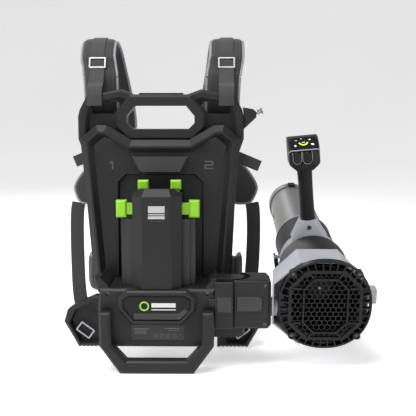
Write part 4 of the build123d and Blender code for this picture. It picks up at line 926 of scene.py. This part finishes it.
# the bay numbers, as plain squared strokes
panel_y = 130.05 * mm
one = np.array([(-1.6, -9), (1.6, -9), (1.6, 9), (-2.6, 9), (-6.5, 6.4), (-6.5, 3.2), (-1.6, 5.8)]) * mm
two = np.array([(-9.5, 9), (7.4, 9), (9.5, 7), (9.5, 0.6), (7.4, -1.5), (-6.6, -1.5), (-6.6, -6.1), (9.5, -6.1),
                (9.5, -9),
                (-9.5, -9), (-9.5, -0.6), (-7.4, 1.4), (6.6, 1.4), (6.6, 6.1), (-9.5, 6.1)]) * mm
flat_marks("bay_number_one", [one], (-104.5 * mm, panel_y, 421 * mm), (1, 0, 0), (0, 0, 1), grey_ink, "pack",
           0.25 * mm)
flat_marks("bay_number_two", [two], (105.8 * mm, panel_y, 421.5 * mm), (1, 0, 0), (0, 0, 1), grey_ink, "pack",
           0.25 * mm)

# paler raised panels on the arm and its hinge cover, in one line
arm_panel = np.array([(166, 126), (209, 126), (216.5, 131), (216.5, 150), (209, 155.5), (166, 155.5)]) * mm
hinge_panel = np.array([(125.5, 126), (153, 126), (153, 155.5), (125.5, 155.5)]) * mm
flat_marks("arm_panel", [arm_panel], (0, 19.05 * mm, 0), (1, 0, 0), (0, 0, 1), panel_grey, "arm",
           0.3 * mm)
flat_marks("hinge_panel", [hinge_panel], (0, 9.85 * mm, 0), (1, 0, 0), (0, 0, 1), panel_grey, "pack",
           0.8 * mm)
label_rows = [bar(0, 5 * mm, 34 * mm, 14 * mm), bar(0, -5.5 * mm, 34 * mm, 2.4 * mm),
              bar(0, -11.5 * mm, 34 * mm, 6 * mm)]
flat_marks("tower_print", label_rows, (0, 11.45 * mm, 334 * mm), (1, 0, 0), (0, 0, 1), label_ink, "pack",
           0.15 * mm)


def sill(name, low_edge, high_edge):
    """A sloping facet inside the badge frame: its lower edge forward, its upper edge back on the badge panel."""
    front = [(x, 0.9, z) for x, z in low_edge] + [(x, 2.9, z) for x, z in high_edge]
    back = [(x, 3.1, z) for x, y, z in front]
    faces = [(0, 1, 2, 3), (7, 6, 5, 4), (0, 4, 5, 1), (1, 5, 6, 2), (2, 6, 7, 3), (3, 7, 4, 0)]
    piece = point_outwards(mesh_piece(name, np.array(front + back) * mm, faces, smooth=False))
    return dress(piece, panel_grey, "pack")


sill("badge_sill", [(-47, 112.6), (47, 112.6)], [(45, 123.5), (-47, 123.5)])
sill("badge_sill_end", [(47.3, 112.6), (64, 129)], [(58, 133), (45.3, 123.5)])
